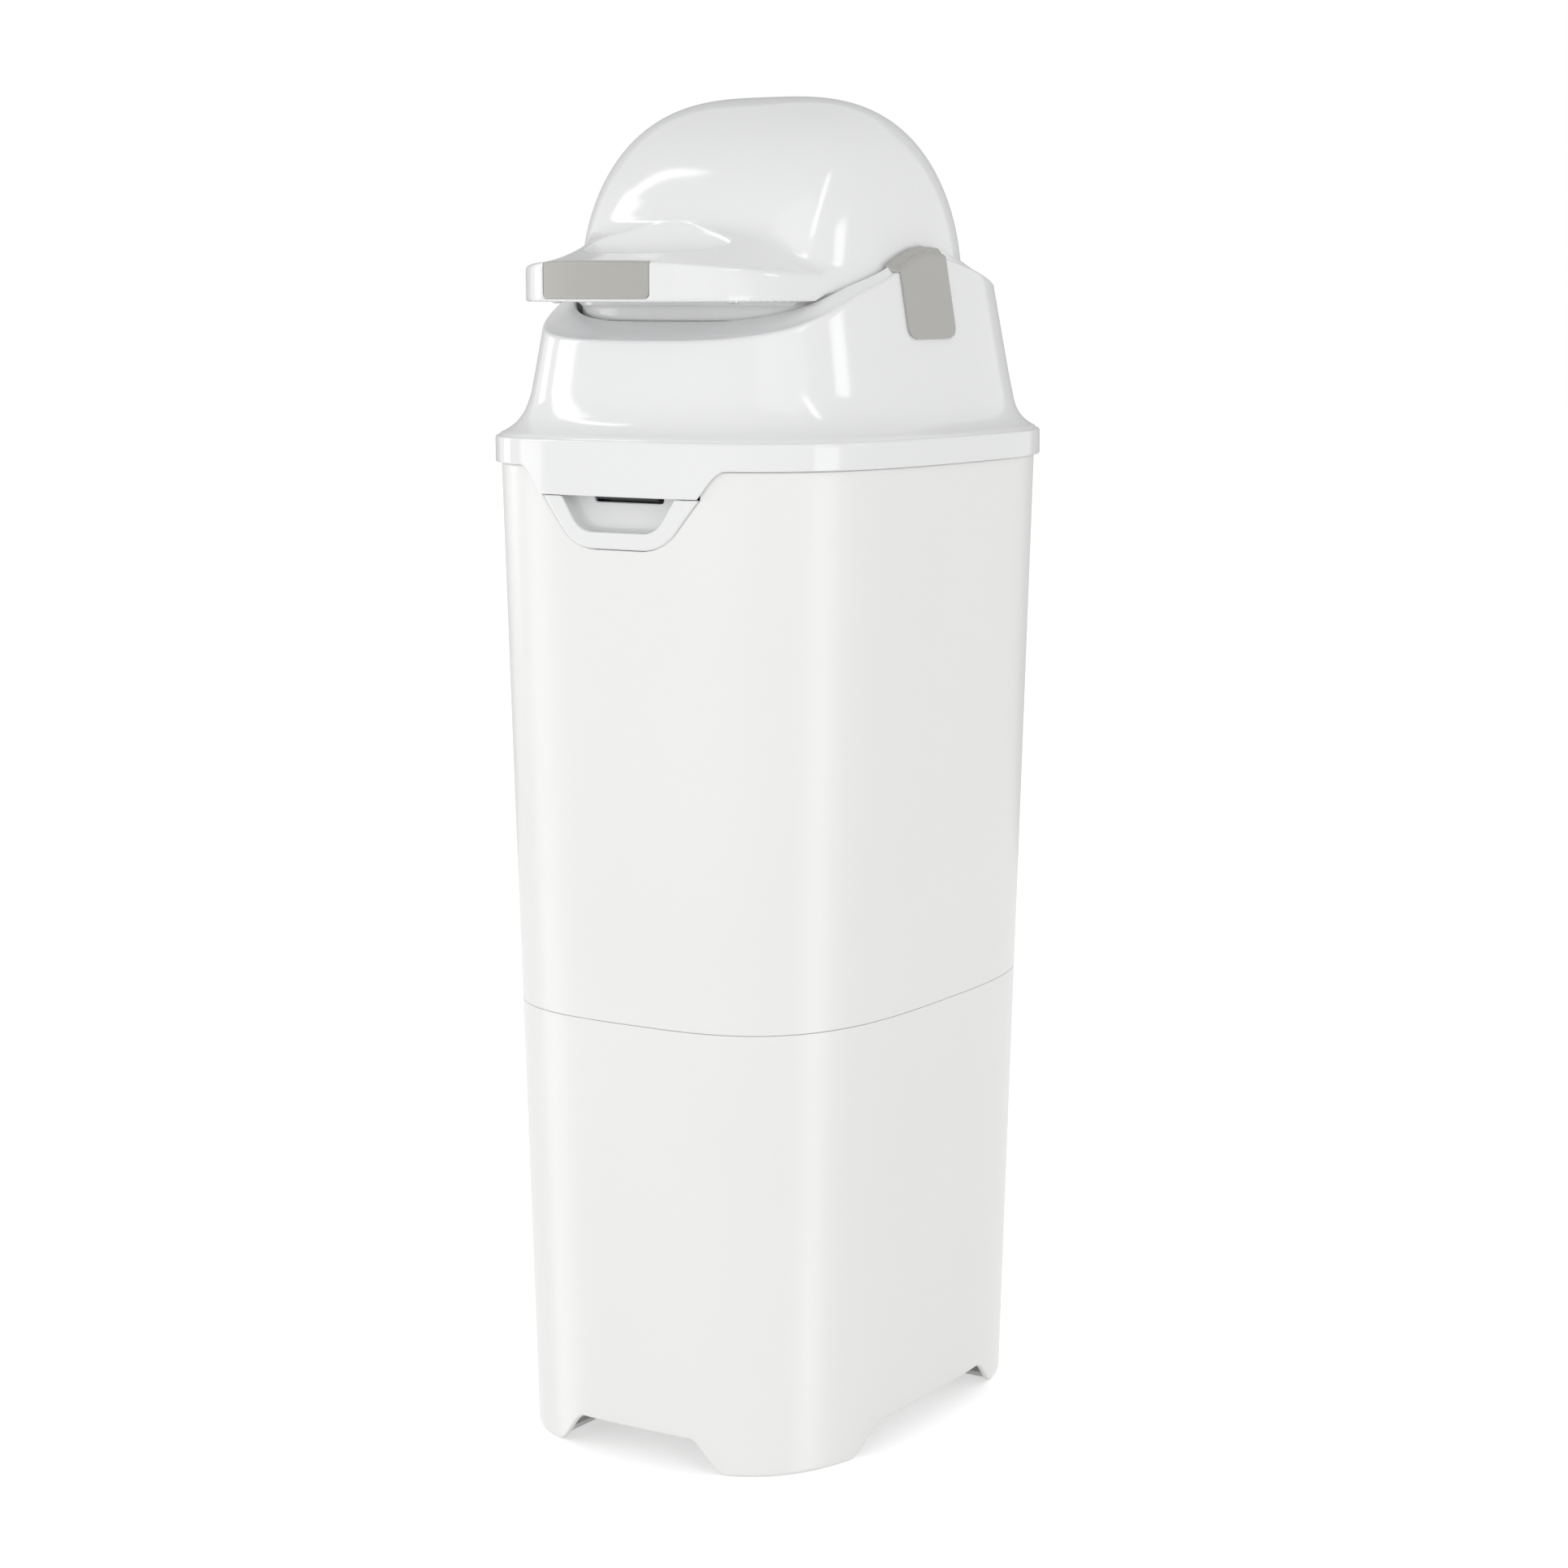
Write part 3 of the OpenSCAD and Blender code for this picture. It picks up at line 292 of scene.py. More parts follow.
def notch(x, half, top, foot_half, foot, cut):
    """Height of a slant-sided notch whose lower corners are curves that start a cut away."""
    run, rise = half - foot_half, top - foot
    x = np.abs(x)
    slant = foot + (x - foot_half) * rise / run
    start, end = foot_half - cut, foot_half + cut * run / math.hypot(run, rise)
    # The curve is a parabola through both ends, so its place along x gives its height
    a, b = end - start - 2 * cut, 2 * cut
    s = (-b + np.sqrt(np.maximum(b * b + 4 * a * (x - start), 0))) / (2 * a)
    curve = foot + s ** 2 * cut * rise / math.hypot(run, rise)
    return np.where(x < start, foot, np.where(x > end, slant, curve))


NOTCH_HALF, BIN_TOP = 48.3, 519.7
near_notch = np.concatenate([side * np.linspace(12, 49.5, 76) for side in SIDES])
notch_sides = np.array([side * (NOTCH_HALF + step) for side in SIDES for step in (0, 0.01)])
near_notch = np.concatenate([near_notch, notch_sides])
bin_angles = np.unique(np.concatenate([around, front_angles(near_notch)]))
bin_x, bin_y, _ = body_ring(500, 0, bin_angles)
notch_z = np.minimum(notch(bin_x, NOTCH_HALF, 505.9, 27.3, 479.1, 14.0), BIN_TOP)
bin_top = np.where((bin_y < 0) & (np.abs(bin_x) <= NOTCH_HALF + 0.005), notch_z, BIN_TOP)


def bin_ring(z, inset=0.0):
    return body_ring(z, inset, bin_angles)


bin_rings = [bin_ring(SEAM_Z + up, inset) for inset, up in
             ((2.9, 0.1), (0.5, 0.1), (0.22, 0.16), (0.06, 0.32), (0, 0.6))]
bin_rings += [bin_ring(SEAM_Z + 2 + (bin_top - 4 - SEAM_Z - 2) * s) for s in np.linspace(0, 1, 11)]
bin_rings += [bin_ring(bin_top - down, inset) for inset, down in
              ((0, 1.0), (0.12, 0.5), (0.45, 0.12), (0.9, 0), (2.0, 0), (2.6, 0.5))]
bin_rings += [bin_ring(bin_top - 6, WALL), bin_ring(245.8, WALL), bin_ring(243.2, 2 * WALL),
              bin_ring(223.8, 2 * WALL), bin_ring(223.8, 2.9)]
as_piece("bin_shell_skin", loft(bin_rings), "bin", ["bin_shell"])

# %% [markdown]
# ## Lid collar
# The collar carries the drum. Seen from the side its rim follows a saddle: low at the front, high
# over the pivot, falling again to the back. Below the rim a soft flare runs out to a flange, and a
# tab hangs down at the front over the latch. One closed section is written from the flange, up
# the outside, over the rim and down the well, and every column of points follows it at its own
# heights. That keeps the highlights unbroken all the way round.

# %% Build the collar
FLANGE_TOP, FLARE_TOP, PIVOT_Z = 534.0, 561.0, 609.0
FLANGE_A, FLANGE_B = (half + 2.8 for half in body_half(BODY_TOP_Z))
RIM_PATH = np.array([(-140, -26), (-125, -22.5), (-103, -16.5), (-85, -9.5), (-60, 1.2), (-32, 9),
                     (-12, 17.2), (6, 20.6), (26, 19.6), (60, 13.4), (95, 6.4), (140, 4.4)], float)


def rim_height(y, blend=7.0):
    """Height of the saddle line at a depth, averaged over its neighbours to soften its bends."""
    spread = [np.interp(y + blend * k / 3, *RIM_PATH.T) * (4 - abs(k)) for k in range(-3, 4)]
    return PIVOT_Z + sum(spread) / 16


def house_half(z):
    """Half width and half depth of the housing, with its flare at the flange."""
    rise = np.maximum(z - FLANGE_TOP, 0)
    lean = 11.7 * (1 - np.exp(-rise / 5.5)) + 0.16 * rise
    return FLANGE_A - 1.08 * lean, FLANGE_B - 0.93 * lean


WELL_A, WELL_B, WELL_N = house_half(PIVOT_Z)[0] - 7.4, 103.0, 3.3
RIM_EDGE, RIM_DROP = 2.0, 5.0      # the rim's outer radius, and where it starts below the line
LIP, WELL_FLOOR = 1.3, 575.0
tab_edge = np.concatenate([side * np.linspace(40, 68, 85) for side in SIDES])
lid_angles = np.unique(np.concatenate([around, front_angles(tab_edge * 0.976)]))
lid_cos, lid_sin = power(np.cos(lid_angles), 2 / PLAN_N), power(np.sin(lid_angles), 2 / PLAN_N)


def house_ring(z, inset=0.0):
    a, b = house_half(z)
    back = 3 * np.clip((z - FLANGE_TOP) / 20, 0, 1)
    return (a - inset) * lid_cos, back + (b - inset) * lid_sin, z


def flange_ring(z, inset=0.0):
    return (FLANGE_A - inset) * lid_cos, (FLANGE_B - inset) * lid_sin, z


def rim_ring(drop, inset=0.0):
    return house_ring(rim_height(3 + house_half(PIVOT_Z)[1] * lid_sin) - drop, inset)


def well_ring(grow, drop):
    """A ring of the well, with its points matched to the columns of the outside."""
    direction = np.arctan2(lid_sin * FLANGE_B, lid_cos * FLANGE_A)
    reach = ((np.abs(np.cos(direction)) / (WELL_A + grow)) ** WELL_N
             + (np.abs(np.sin(direction)) / (WELL_B + grow)) ** WELL_N) ** (-1 / WELL_N)
    x, y = reach * np.cos(direction), reach * np.sin(direction)
    return x, y, rim_height(y) - drop


def tab_height(x, y):
    """Lower edge of the flange: level, with the tab's slanted sides at the front."""
    s = np.clip((np.abs(x) - 48) / 15, 0, 1)
    slant = 506 + 14 * np.sin(s * np.pi / 2) ** 1.15
    return np.where((y < 0) & (np.abs(x) < 63), np.where(np.abs(x) <= 48, 506, slant), BODY_TOP_Z)


tab_z = tab_height(*flange_ring(520)[:2])
quarter = np.linspace(0, np.pi / 2, 7)
lid_rings = [flange_ring(BODY_TOP_Z, 6.4), flange_ring(BODY_TOP_Z, 2.5),
             flange_ring(np.minimum(tab_z + 0.5, BODY_TOP_Z), 2.3)]
lid_rings += [flange_ring(tab_z + up, inset) for inset, up in
              ((1.9, 0.05), (0.7, 0), (0.3, 0.12), (0.08, 0.4), (0, 0.8))]
lid_rings += [flange_ring(tab_z + (FLANGE_TOP - 2.2 - tab_z) * s) for s in (0.15, 0.4, 0.7, 1.0)]
lid_rings += [flange_ring(FLANGE_TOP - 1.6 * (1 - math.sin(q)), 1.6 * (1 - math.cos(q)))
              for q in quarter]
lid_rings += [house_ring(FLANGE_TOP + rise) for rise in
              (1.2, 2.2, 3.4, 4.8, 6.4, 8.2, 10.4, 13, 16, 19.5, 23, 27)]
rim_low = rim_ring(7.5)[2]
lid_rings += [house_ring(FLARE_TOP + (rim_low - FLARE_TOP) * s) for s in np.linspace(0.1, 1, 12)]
lid_rings += [rim_ring(RIM_DROP - RIM_EDGE * math.sin(q), RIM_EDGE * (1 - math.cos(q)))
              for q in quarter[:-1]]
edge_ring, lip_ring = rim_ring(RIM_DROP - RIM_EDGE, RIM_EDGE + 0.3), well_ring(LIP, 0)
lid_rings += [tuple(e + (w - e) * s for e, w in zip(edge_ring, lip_ring)) for s in (0, 0.35, 0.7)]
lid_rings += [well_ring(LIP * (1 - math.sin(q)), LIP * (1 - math.cos(q))) for q in quarter]


def well_level(grow, z):
    return (*well_ring(grow, 0)[:2], z)


well_top = well_ring(0, LIP)[2]
lid_rings += [well_level(0, well_top + (WELL_FLOOR + 1 - well_top) * s) for s in (0.3, 0.65, 1.0)]
lid_rings += [well_level(0.3, WELL_FLOOR + 0.2), well_level(1.1, WELL_FLOOR),
              well_level(2.3, WELL_FLOOR)]
lid_rings += [well_level(2.3, well_ring(2.3, 5)[2])]
lid_rings += [rim_ring(8, 6), rim_ring(10, 2.9), house_ring(FLARE_TOP, 2.8), house_ring(541, 2.8)]
lid_rings += [flange_ring(z, inset) for z, inset in
              ((531.2, 8.6), (512.6, 8.6), (512, 8), (512, 7), (512.6, 6.4))]
as_piece("collar_skin", loft(lid_rings), "lid", ["collar_shell"])

# %% [markdown]
# ## A skin from a formula
# The drum's dome runs into its visor through a fillet that changes size all the way round. Rings
# can't follow that, and a Boolean union would leave a hard crease. A signed distance does it
# simply: it is negative inside and positive outside, and two shapes melt together where their
# distances are blended. The function below fills a grid with such distances, puts one point in
# each cell that the surface crosses, and then slides every point onto the exact surface.

# %% Mesh a signed distance
def melt(d1, d2, radius):
    """The union of two shapes with a fillet between them."""
    h = np.clip(0.5 + 0.5 * (d2 - d1) / radius, 0, 1)
    return d2 + (d1 - d2) * h - radius * h * (1 - h)


def carve(d1, d2, radius):
    """The space inside both shapes, with a rounded edge. A minus sign on one cuts it away."""
    return -melt(-d1, -d2, radius)


def skin(distance, low, high, cell):
    """A mesh of the surface where a signed distance is zero."""
    steps = np.eye(3, dtype=int)
    size = [int(math.ceil((h - l) / cell)) + 1 for l, h in zip(low, high)]
    axes = [l + cell * np.arange(n) for l, n in zip(low, size)]
    grid = np.meshgrid(*axes, indexing="ij")
    value = distance(*grid)
    inside = value < 0
    corner_sum = sum(inside[i:size[0] - 1 + i, j:size[1] - 1 + j, k:size[2] - 1 + k].astype(np.int8)
                     for i in (0, 1) for j in (0, 1) for k in (0, 1))
    cells = np.argwhere((corner_sum > 0) & (corner_sum < 8))
    number = np.full([n - 1 for n in size], -1, np.int64)
    number[tuple(cells.T)] = np.arange(len(cells))
    total, hits = np.zeros((len(cells), 3)), np.zeros(len(cells))
    for axis in range(3):
        step = steps[axis]
        others = [steps[o] for o in range(3) if o != axis]
        for m in (0, 1):
            for n in (0, 1):
                start = cells + m * others[0] + n * others[1]
                va, vb = value[tuple(start.T)], value[tuple((start + step).T)]
                crossing = (va < 0) != (vb < 0)
                share = np.where(crossing, va / np.where(crossing, va - vb, 1), 0)
                total += np.where(crossing[:, None], start + share[:, None] * step, 0)
                hits += crossing
    points = np.array(low) + cell * total / hits[:, None]
    faces = []
    for axis in range(3):
        one, two = [o for o in range(3) if o != axis]
        head, tail = [slice(None)] * 3, [slice(None)] * 3
        head[axis], tail[axis] = slice(0, -1), slice(1, None)
        edges = np.argwhere(inside[tuple(head)] != inside[tuple(tail)])
        keep = (edges[:, one] > 0) & (edges[:, two] > 0) & (edges[:, one] < size[one] - 1) \
            & (edges[:, two] < size[two] - 1)
        edges = edges[keep]
        corner = [number[tuple((edges - o).T)]
                  for o in (0 * steps[one], steps[one], steps[one] + steps[two], steps[two])]
        faces += np.column_stack(corner).tolist()
    for _ in range(4):
        here = distance(*points.T)
        slope = np.column_stack([
            (distance(*(points + 0.02 * e).T) - distance(*(points - 0.02 * e).T)) / 0.04
            for e in steps])
        move = -here[:, None] * slope / np.maximum((slope ** 2).sum(1), 0.05)[:, None]
        points = points + np.clip(move, -0.5 * cell, 0.5 * cell)
    return mesh_from(points, faces)


# %% [markdown]
# ## Shapes of the drum
# The drum is turned round the pivot axis: a round belly with full shoulders at both ends. The
# visor is a shelf in front of it with an upright edge, and its top sweeps up to the dome. Each is
# written as a distance, so the dome can use both.

# %% Write the drum and visor as distances
DRUM_R, DRUM_A, DRUM_N = 100.0, WELL_A - 2, 3.35
VISOR_A, VISOR_B, VISOR_Y, VISOR_N = 77.0, 92.0, -78.0, 2.2
VISOR_LOW, VISOR_EDGE, VISOR_RISE, VISOR_SWEEP = 602.6, 622.6, 13.4, 66.5


def drum_distance(x, y, z):
    """Distance from the turned drum."""
    rho = np.sqrt(y ** 2 + (z - PIVOT_Z) ** 2) + 1e-6
    u, v = (np.abs(x) + 1e-6) / DRUM_A, rho / DRUM_R
    s = (u ** DRUM_N + v ** DRUM_N) ** (1 / DRUM_N)
    slope = s ** (1 - DRUM_N) * np.hypot(u ** (DRUM_N - 1) / DRUM_A, v ** (DRUM_N - 1) / DRUM_R)
    return (s - 1) / slope


def oval_distance(x, y, a, b, n):
    """Distance from an upright oval wall."""
    u, v = (np.abs(x) + 1e-6) / a, (np.abs(y) + 1e-6) / b
    s = (u ** n + v ** n) ** (1 / n)
    slope = s ** (1 - n) * np.hypot(u ** (n - 1) / a, v ** (n - 1) / b)
    return (s - 1) / slope


def visor_reach(x, y):
    """How far in from the visor's edge a place is, 0 at the edge."""
    depth, shape = np.minimum(y - VISOR_Y, 0), np.broadcast(x, y).shape
    low, high = np.full(shape, -6.0), np.full(shape, 82.0)
    for _ in range(22):
        reach = (low + high) / 2
        a, b = VISOR_A - 0.3 * reach, VISOR_B - reach
        outside = (np.abs(x) / a) ** VISOR_N + (np.abs(depth) / b) ** VISOR_N > 1
        high = np.where(outside, reach, high)
        low = np.where(outside, low, reach)
    return reach


def visor_top(x, y):
    """Height of the visor's upper surface."""
    s = visor_reach(x, y) / VISOR_SWEEP
    edge = VISOR_EDGE - 6.0 * (np.minimum(np.abs(x), VISOR_A) / VISOR_A) ** 3
    return edge + VISOR_RISE * np.clip(s, 0, 1.25) ** 1.7 + 1.2 * s


def visor_distance(x, y, z):
    wall = oval_distance(x, y - VISOR_Y, VISOR_A, np.where(y < VISOR_Y, VISOR_B, 62.0), VISOR_N)
    above = (z - visor_top(x, y)) / 1.12
    shelf = carve(carve(wall, above, 1.9), VISOR_LOW - z, 1.6)
    return carve(shelf, rim_height(y) + 1.5 - z, 1.0)


print("drum half width:", round(DRUM_A, 2), "mm; visor tip at y", VISOR_Y - VISOR_B, "mm")

# %% [markdown]
# ## Dome with visor
# The thumb scoop is a shallow oval hollow in the visor's top, and its back wall bites a little
# into the dome. It is carved out with a small edge radius after the visor and the drum have
# melted together. The inside of the dome and the hollow under the visor come from Booleans,
# because those edges are crisp on the moulding.

# %% Build the dome
SCOOP_FLOOR, SCOOP_BACK, SCOOP_A, SCOOP_B = 617.6, -96.4, 42, 35
DRUM_WALL, DOME_LOW = 2.4, 593


def scoop_distance(x, y, z):
    bowl = oval_distance(x, y + 104, SCOOP_A, SCOOP_B, 2)
    bowl = carve(bowl, y - SCOOP_BACK + 9 * (x / SCOOP_A) ** 2, 2.0)
    return carve(bowl, SCOOP_FLOOR - z, 3.0)


def dome_distance(x, y, z):
    body = melt(drum_distance(x, y, z), visor_distance(x, y, z), 5.0)
    return carve(body, -scoop_distance(x, y, z), 1.6)


def turned_drum(inset, stations=72, turns=160):
    """The whole drum as a turned shell, for cutting and for the barrel."""
    t = np.linspace(-np.pi / 2, np.pi / 2, stations)[1:-1]
    half, radius = DRUM_A - inset, DRUM_R - inset
    x, r = half * power(np.sin(t), 2 / DRUM_N), radius * np.cos(t) ** (2 / DRUM_N)
    phi = np.arange(turns) * 2 * np.pi / turns
    points = [(along, out * math.cos(p), PIVOT_Z + out * math.sin(p))
              for along, out in zip(x, r) for p in phi]
    faces = ring_faces(len(x), turns)
    points += [(-half, 0, PIVOT_Z), (half, 0, PIVOT_Z)]
    first, last = len(points) - 2, len(points) - 1
    top = (len(x) - 1) * turns
    faces += [(first, (i + 1) % turns, i) for i in range(turns)]
    faces += [(last, top + i, top + (i + 1) % turns) for i in range(turns)]
    return mesh_from(points, faces)


def cut_level(mesh, place, keep_above, axis=2):
    """Cuts a mesh at a height, or at a place along another axis, and closes the cut."""
    work = bmesh.new()
    work.from_mesh(mesh)
    everything = list(work.verts) + list(work.edges) + list(work.faces)
    normal = Matrix.Identity(3)[axis]
    bmesh.ops.bisect_plane(work, geom=everything, plane_co=normal * place * MM, plane_no=normal,
                           clear_inner=keep_above, clear_outer=not keep_above)
    edges = [e for e in work.edges if e.is_boundary]
    bmesh.ops.contextual_create(work, geom=edges)
    bmesh.ops.recalc_face_normals(work, faces=work.faces)
    work.to_mesh(mesh)
    work.free()


def boolean(mesh, cutters, operation="DIFFERENCE"):
    """The mesh after exact Booleans with other meshes."""
    things = [placed("work", each) for each in (mesh, *cutters)]
    for tool in things[1:]:
        step = things[0].modifiers.new("cut", "BOOLEAN")
        step.operation, step.solver, step.object = operation, "EXACT", tool
    view = bpy.context.evaluated_depsgraph_get()
    result = bpy.data.meshes.new_from_object(things[0].evaluated_get(view))
    for thing in things:
        bpy.data.objects.remove(thing)
    return result


def underside_outline(inset, gap):
    """Plan of the hollow under the visor: the visor's edge in front, the drum behind."""
    t = np.linspace(np.pi, 2 * np.pi, 81)
    x = (VISOR_A - inset) * power(np.cos(t), 2 / VISOR_N)
    y = VISOR_Y + (VISOR_B - inset) * power(np.sin(t), 2 / VISOR_N)
    limit = -84 - gap
    front = list(zip(x[y < limit], y[y < limit]))
    reach = np.linspace(front[-1][0], front[0][0], 61)
    back = [(v, min(limit, -DRUM_R * (1 - (abs(v) / DRUM_A) ** DRUM_N) ** (1 / DRUM_N) - gap))
            for v in reach]
    return front + back[1:-1]


dome_cell = 1.3
dome_mesh = skin(dome_distance, (-88, -174, 588), (88, 106, 714), dome_cell)
cut_level(dome_mesh, DOME_LOW, keep_above=True)
hollow = turned_drum(DRUM_WALL)
cut_level(hollow, DOME_LOW - 3, keep_above=True)
cut_level(hollow, -94, keep_above=True, axis=1)
visor_hollow = prism(underside_outline(7, 0.5), 600, 611)
print("dome skin:", len(dome_mesh.polygons), "faces before its cuts")

# %% [markdown]
# ## Grip pad
# A soft grey pad is let into the visor's front edge, where fingers push. It follows the visor's
# own surface, so its points are found by shooting rays from inside the visor until they meet it.
# The pocket in the dome is cut with the same outline and a fine gap, which shows as a thin line.

# %% Build the grip pad
PAD_HALF, PAD_MIDDLE, PAD_LOW, PAD_HIGH = 31.9, 612.6, math.radians(-44.5), math.radians(62)


def visor_hit(x, angle, sink):
    """Where a ray from inside the visor meets its front, sunk under the surface: y and z."""
    centre_y = VISOR_Y - VISOR_B * (1 - (np.abs(x) / VISOR_A) ** VISOR_N) ** (1 / VISOR_N) + 9
    low, high = np.zeros_like(x), np.full_like(x, 20.0)
    for _ in range(26):
        mid = (low + high) / 2
        y, z = centre_y - mid * np.cos(angle), PAD_MIDDLE + mid * np.sin(angle)
        d = visor_distance(x, y, z) + sink
        low, high = np.where(d < 0, mid, low), np.where(d < 0, high, mid)
    return centre_y - low * np.cos(angle), PAD_MIDDLE + low * np.sin(angle)


def slab(layers):
    """A closed skin through grids of points. Those between the first and last give only a rim."""
    index = np.arange(layers[0][..., 0].size).reshape(layers[0].shape[:2])
    face = np.stack([index[:-1, :-1], index[1:, :-1], index[1:, 1:], index[:-1, 1:]], -1)
    face = face.reshape(-1, 4)
    border = np.concatenate([index[:, 0], index[-1, 1:], index[-2::-1, -1], index[0, -2:0:-1]])
    points, faces, rim = [layers[0].reshape(-1, 3)], [face], border
    for k, layer in enumerate(layers[1:], 2):
        start, layer = sum(len(part) for part in points), layer.reshape(-1, 3)
        points.append(layer if k == len(layers) else layer[border])
        next_rim = start + (border if k == len(layers) else np.arange(len(border)))
        faces.append(np.column_stack([rim, np.roll(rim, -1), np.roll(next_rim, -1), next_rim]))
        rim = next_rim
    faces.append(start + face[:, ::-1])
    return mesh_from(np.concatenate(points), np.concatenate(faces).tolist())


def pad_solid(grow, proud, depth, ease, rows=40, columns=90):
    """The pad: its face stands proud of the visor, eases off at the edge and goes in to a depth."""
    u, v = np.meshgrid(np.linspace(-1, 1, columns), np.linspace(-1, 1, rows), indexing="ij")
    corner = 0.2
    x = (PAD_HALF + grow) * u * (1 - 0.055 * np.clip((np.abs(v) - 1 + corner) / corner, 0, 1) ** 2)
    middle, spread = (PAD_LOW + PAD_HIGH) / 2, (PAD_HIGH - PAD_LOW) / 2
    swing = (spread + grow * 0.06) * v
    layers = []
    for sink, shrink in ((-proud, ease), (0.25 - proud, ease * 0.3), (0.8 - proud, 0), (depth, 0)):
        xs = x * (1 - shrink / PAD_HALF)
        angle = middle + swing * (1 - shrink * 0.06)
        layers.append(np.stack([xs, *visor_hit(xs, angle, sink)], -1))
    return slab(layers)


dome_cutters = [hollow, visor_hollow, pad_solid(0.25, 1.5, 4.4, 0.0)]
as_piece("dome_skin", boolean(dome_mesh, dome_cutters), "drum", ["drum_dome"])
as_piece("grip_pad_skin", pad_solid(0, 0.0, 4.1, 0.7), "drum", ["grip_pad"])

# %% [markdown]
# ## Visor cover and barrel
# A flat plate closes the hollow under the visor. Below the split line the drum goes on as a
# barrel, which shows in front under the visor and comes up when the drum flips. It is the turned
# drum again, cut off at the mouth and hollowed.

# %% Build the cover and the barrel
cover_mesh = prism(underside_outline(7.3, 0.8), 602.8, 604.4)
as_piece("cover_skin", cover_mesh, "drum", ["handle_cover"])

BARREL_LOW, MOUTH_R = 547.0, 60
barrel_mesh = turned_drum(0)
cut_level(barrel_mesh, DOME_LOW - 0.2, keep_above=False)
cut_level(barrel_mesh, BARREL_LOW, keep_above=True)
barrel_hollow = turned_drum(DRUM_WALL)
cut_level(barrel_hollow, BARREL_LOW + DRUM_WALL, keep_above=True)
circle = np.linspace(0, 2 * np.pi, 161)[:-1]
mouth_hole = prism(list(zip(MOUTH_R * np.cos(circle), MOUTH_R * np.sin(circle))), 540, 552)
barrel_mesh = boolean(barrel_mesh, [barrel_hollow, mouth_hole])
as_piece("barrel_skin", barrel_mesh, "drum", ["chute_barrel"])

# %% [markdown]
# ## Saddle clips
# A grey clip sits over each end of the pivot. It is a thin skin that hugs the housing, from its
# lower edge with two round corners, up the wall, over the rim and in to the well, where it flares
# and carries two low ridges. Rows of points follow that path at every depth, once for the outer
# face and once for the inner one, and their borders are joined.

# %% Build the clips
CLIP_LOW, CLIP_HALF, CLIP_CORNER, CLIP_LIFT, CLIP_COLUMNS = 583.4, 24, 7, 1.4, 49
FLARE_ROW, RIDGE_ROW = 27, 30


def house_surface_x(y, z):
    """Half width of the housing at a depth and a height."""
    a, b = house_half(z)
    inside = np.clip(1 - (np.abs(y - 3) / b) ** PLAN_N, 0, 1)
    return a * inside ** (1 / PLAN_N)


def clip_section(y, lift):
    """The path of the clip's skin at one depth, as x and z, lifted off the housing."""
    rim = float(rim_height(y))
    wall_z = np.linspace(CLIP_LOW, rim - RIM_DROP, 26)
    path = [(float(house_surface_x(y, z)) + lift, z) for z in wall_z]
    bend_x, bend_z = path[-1][0] - lift - RIM_EDGE, rim - RIM_DROP
    for q in np.linspace(0, np.pi / 2, 10)[1:]:
        reach = RIM_EDGE + lift
        path.append((bend_x + reach * math.cos(q), bend_z + reach * math.sin(q)))
    end_x = WELL_A * (1 - (abs(y) / WELL_B) ** WELL_N) ** (1 / WELL_N) + 0.3
    start_z = bend_z + RIM_EDGE
    for s in (0.3, 0.65, 1.0):
        path.append((bend_x + (end_x - bend_x) * s, start_z + (rim - start_z) * s + lift))
    return path


def clip_mesh(side):
    """A clip on one side: rows go up the path, and columns go from front to back."""
    middle = clip_section(0, CLIP_LIFT)
    rows = len(middle)
    outer, inner = [], []
    for k in range(rows):
        short = max(0, CLIP_CORNER - (middle[k][1] - CLIP_LOW))
        narrow = CLIP_CORNER - math.sqrt(CLIP_CORNER ** 2 - short ** 2)
        flare = 4 * max(0, k - FLARE_ROW) / (rows - FLARE_ROW - 1)
        front, back = narrow - CLIP_HALF - flare, CLIP_HALF - narrow + flare / 2
        for y in np.linspace(front, back, CLIP_COLUMNS):
            top, low = clip_section(y, CLIP_LIFT)[k], clip_section(y, 0.2)[k]
            ridges = sum(math.exp(-((y - c) / 2.2) ** 2) for c in (-3, 6)) if k > RIDGE_ROW else 0
            outer.append((side * top[0], y, top[1] + 0.7 * ridges))
            inner.append((side * low[0], y, low[1]))
    return slab([np.reshape(grid, (rows, CLIP_COLUMNS, 3)) for grid in (outer, inner)])


for side, label in ((-1, "left"), (1, "right")):
    as_piece(f"clip_{label}_skin", clip_mesh(side), "lid", [f"saddle_clip_{label}"])

# %% [markdown]
# ## Latch cup
# Under the tab sits a cup for two fingers: a slant-sided frame, a little proud of the body, round
# a hollow with soft inner corners. It is written as a signed distance as well, since all its
# edges are rounded. The slot at the back of the hollow shows the dark latch lever.

# %% Build the latch cup
def slant_block(x, z, half, top, foot_half, foot, corner):
    """Distance from a slant-sided outline with round lower corners, open at the top."""
    run, rise = half - foot_half, top - foot
    side = ((np.abs(x) - foot_half) * rise - (z - foot) * run) / math.hypot(run, rise)
    return carve(np.where(z > top, np.abs(x) - half, side), foot - z, corner)


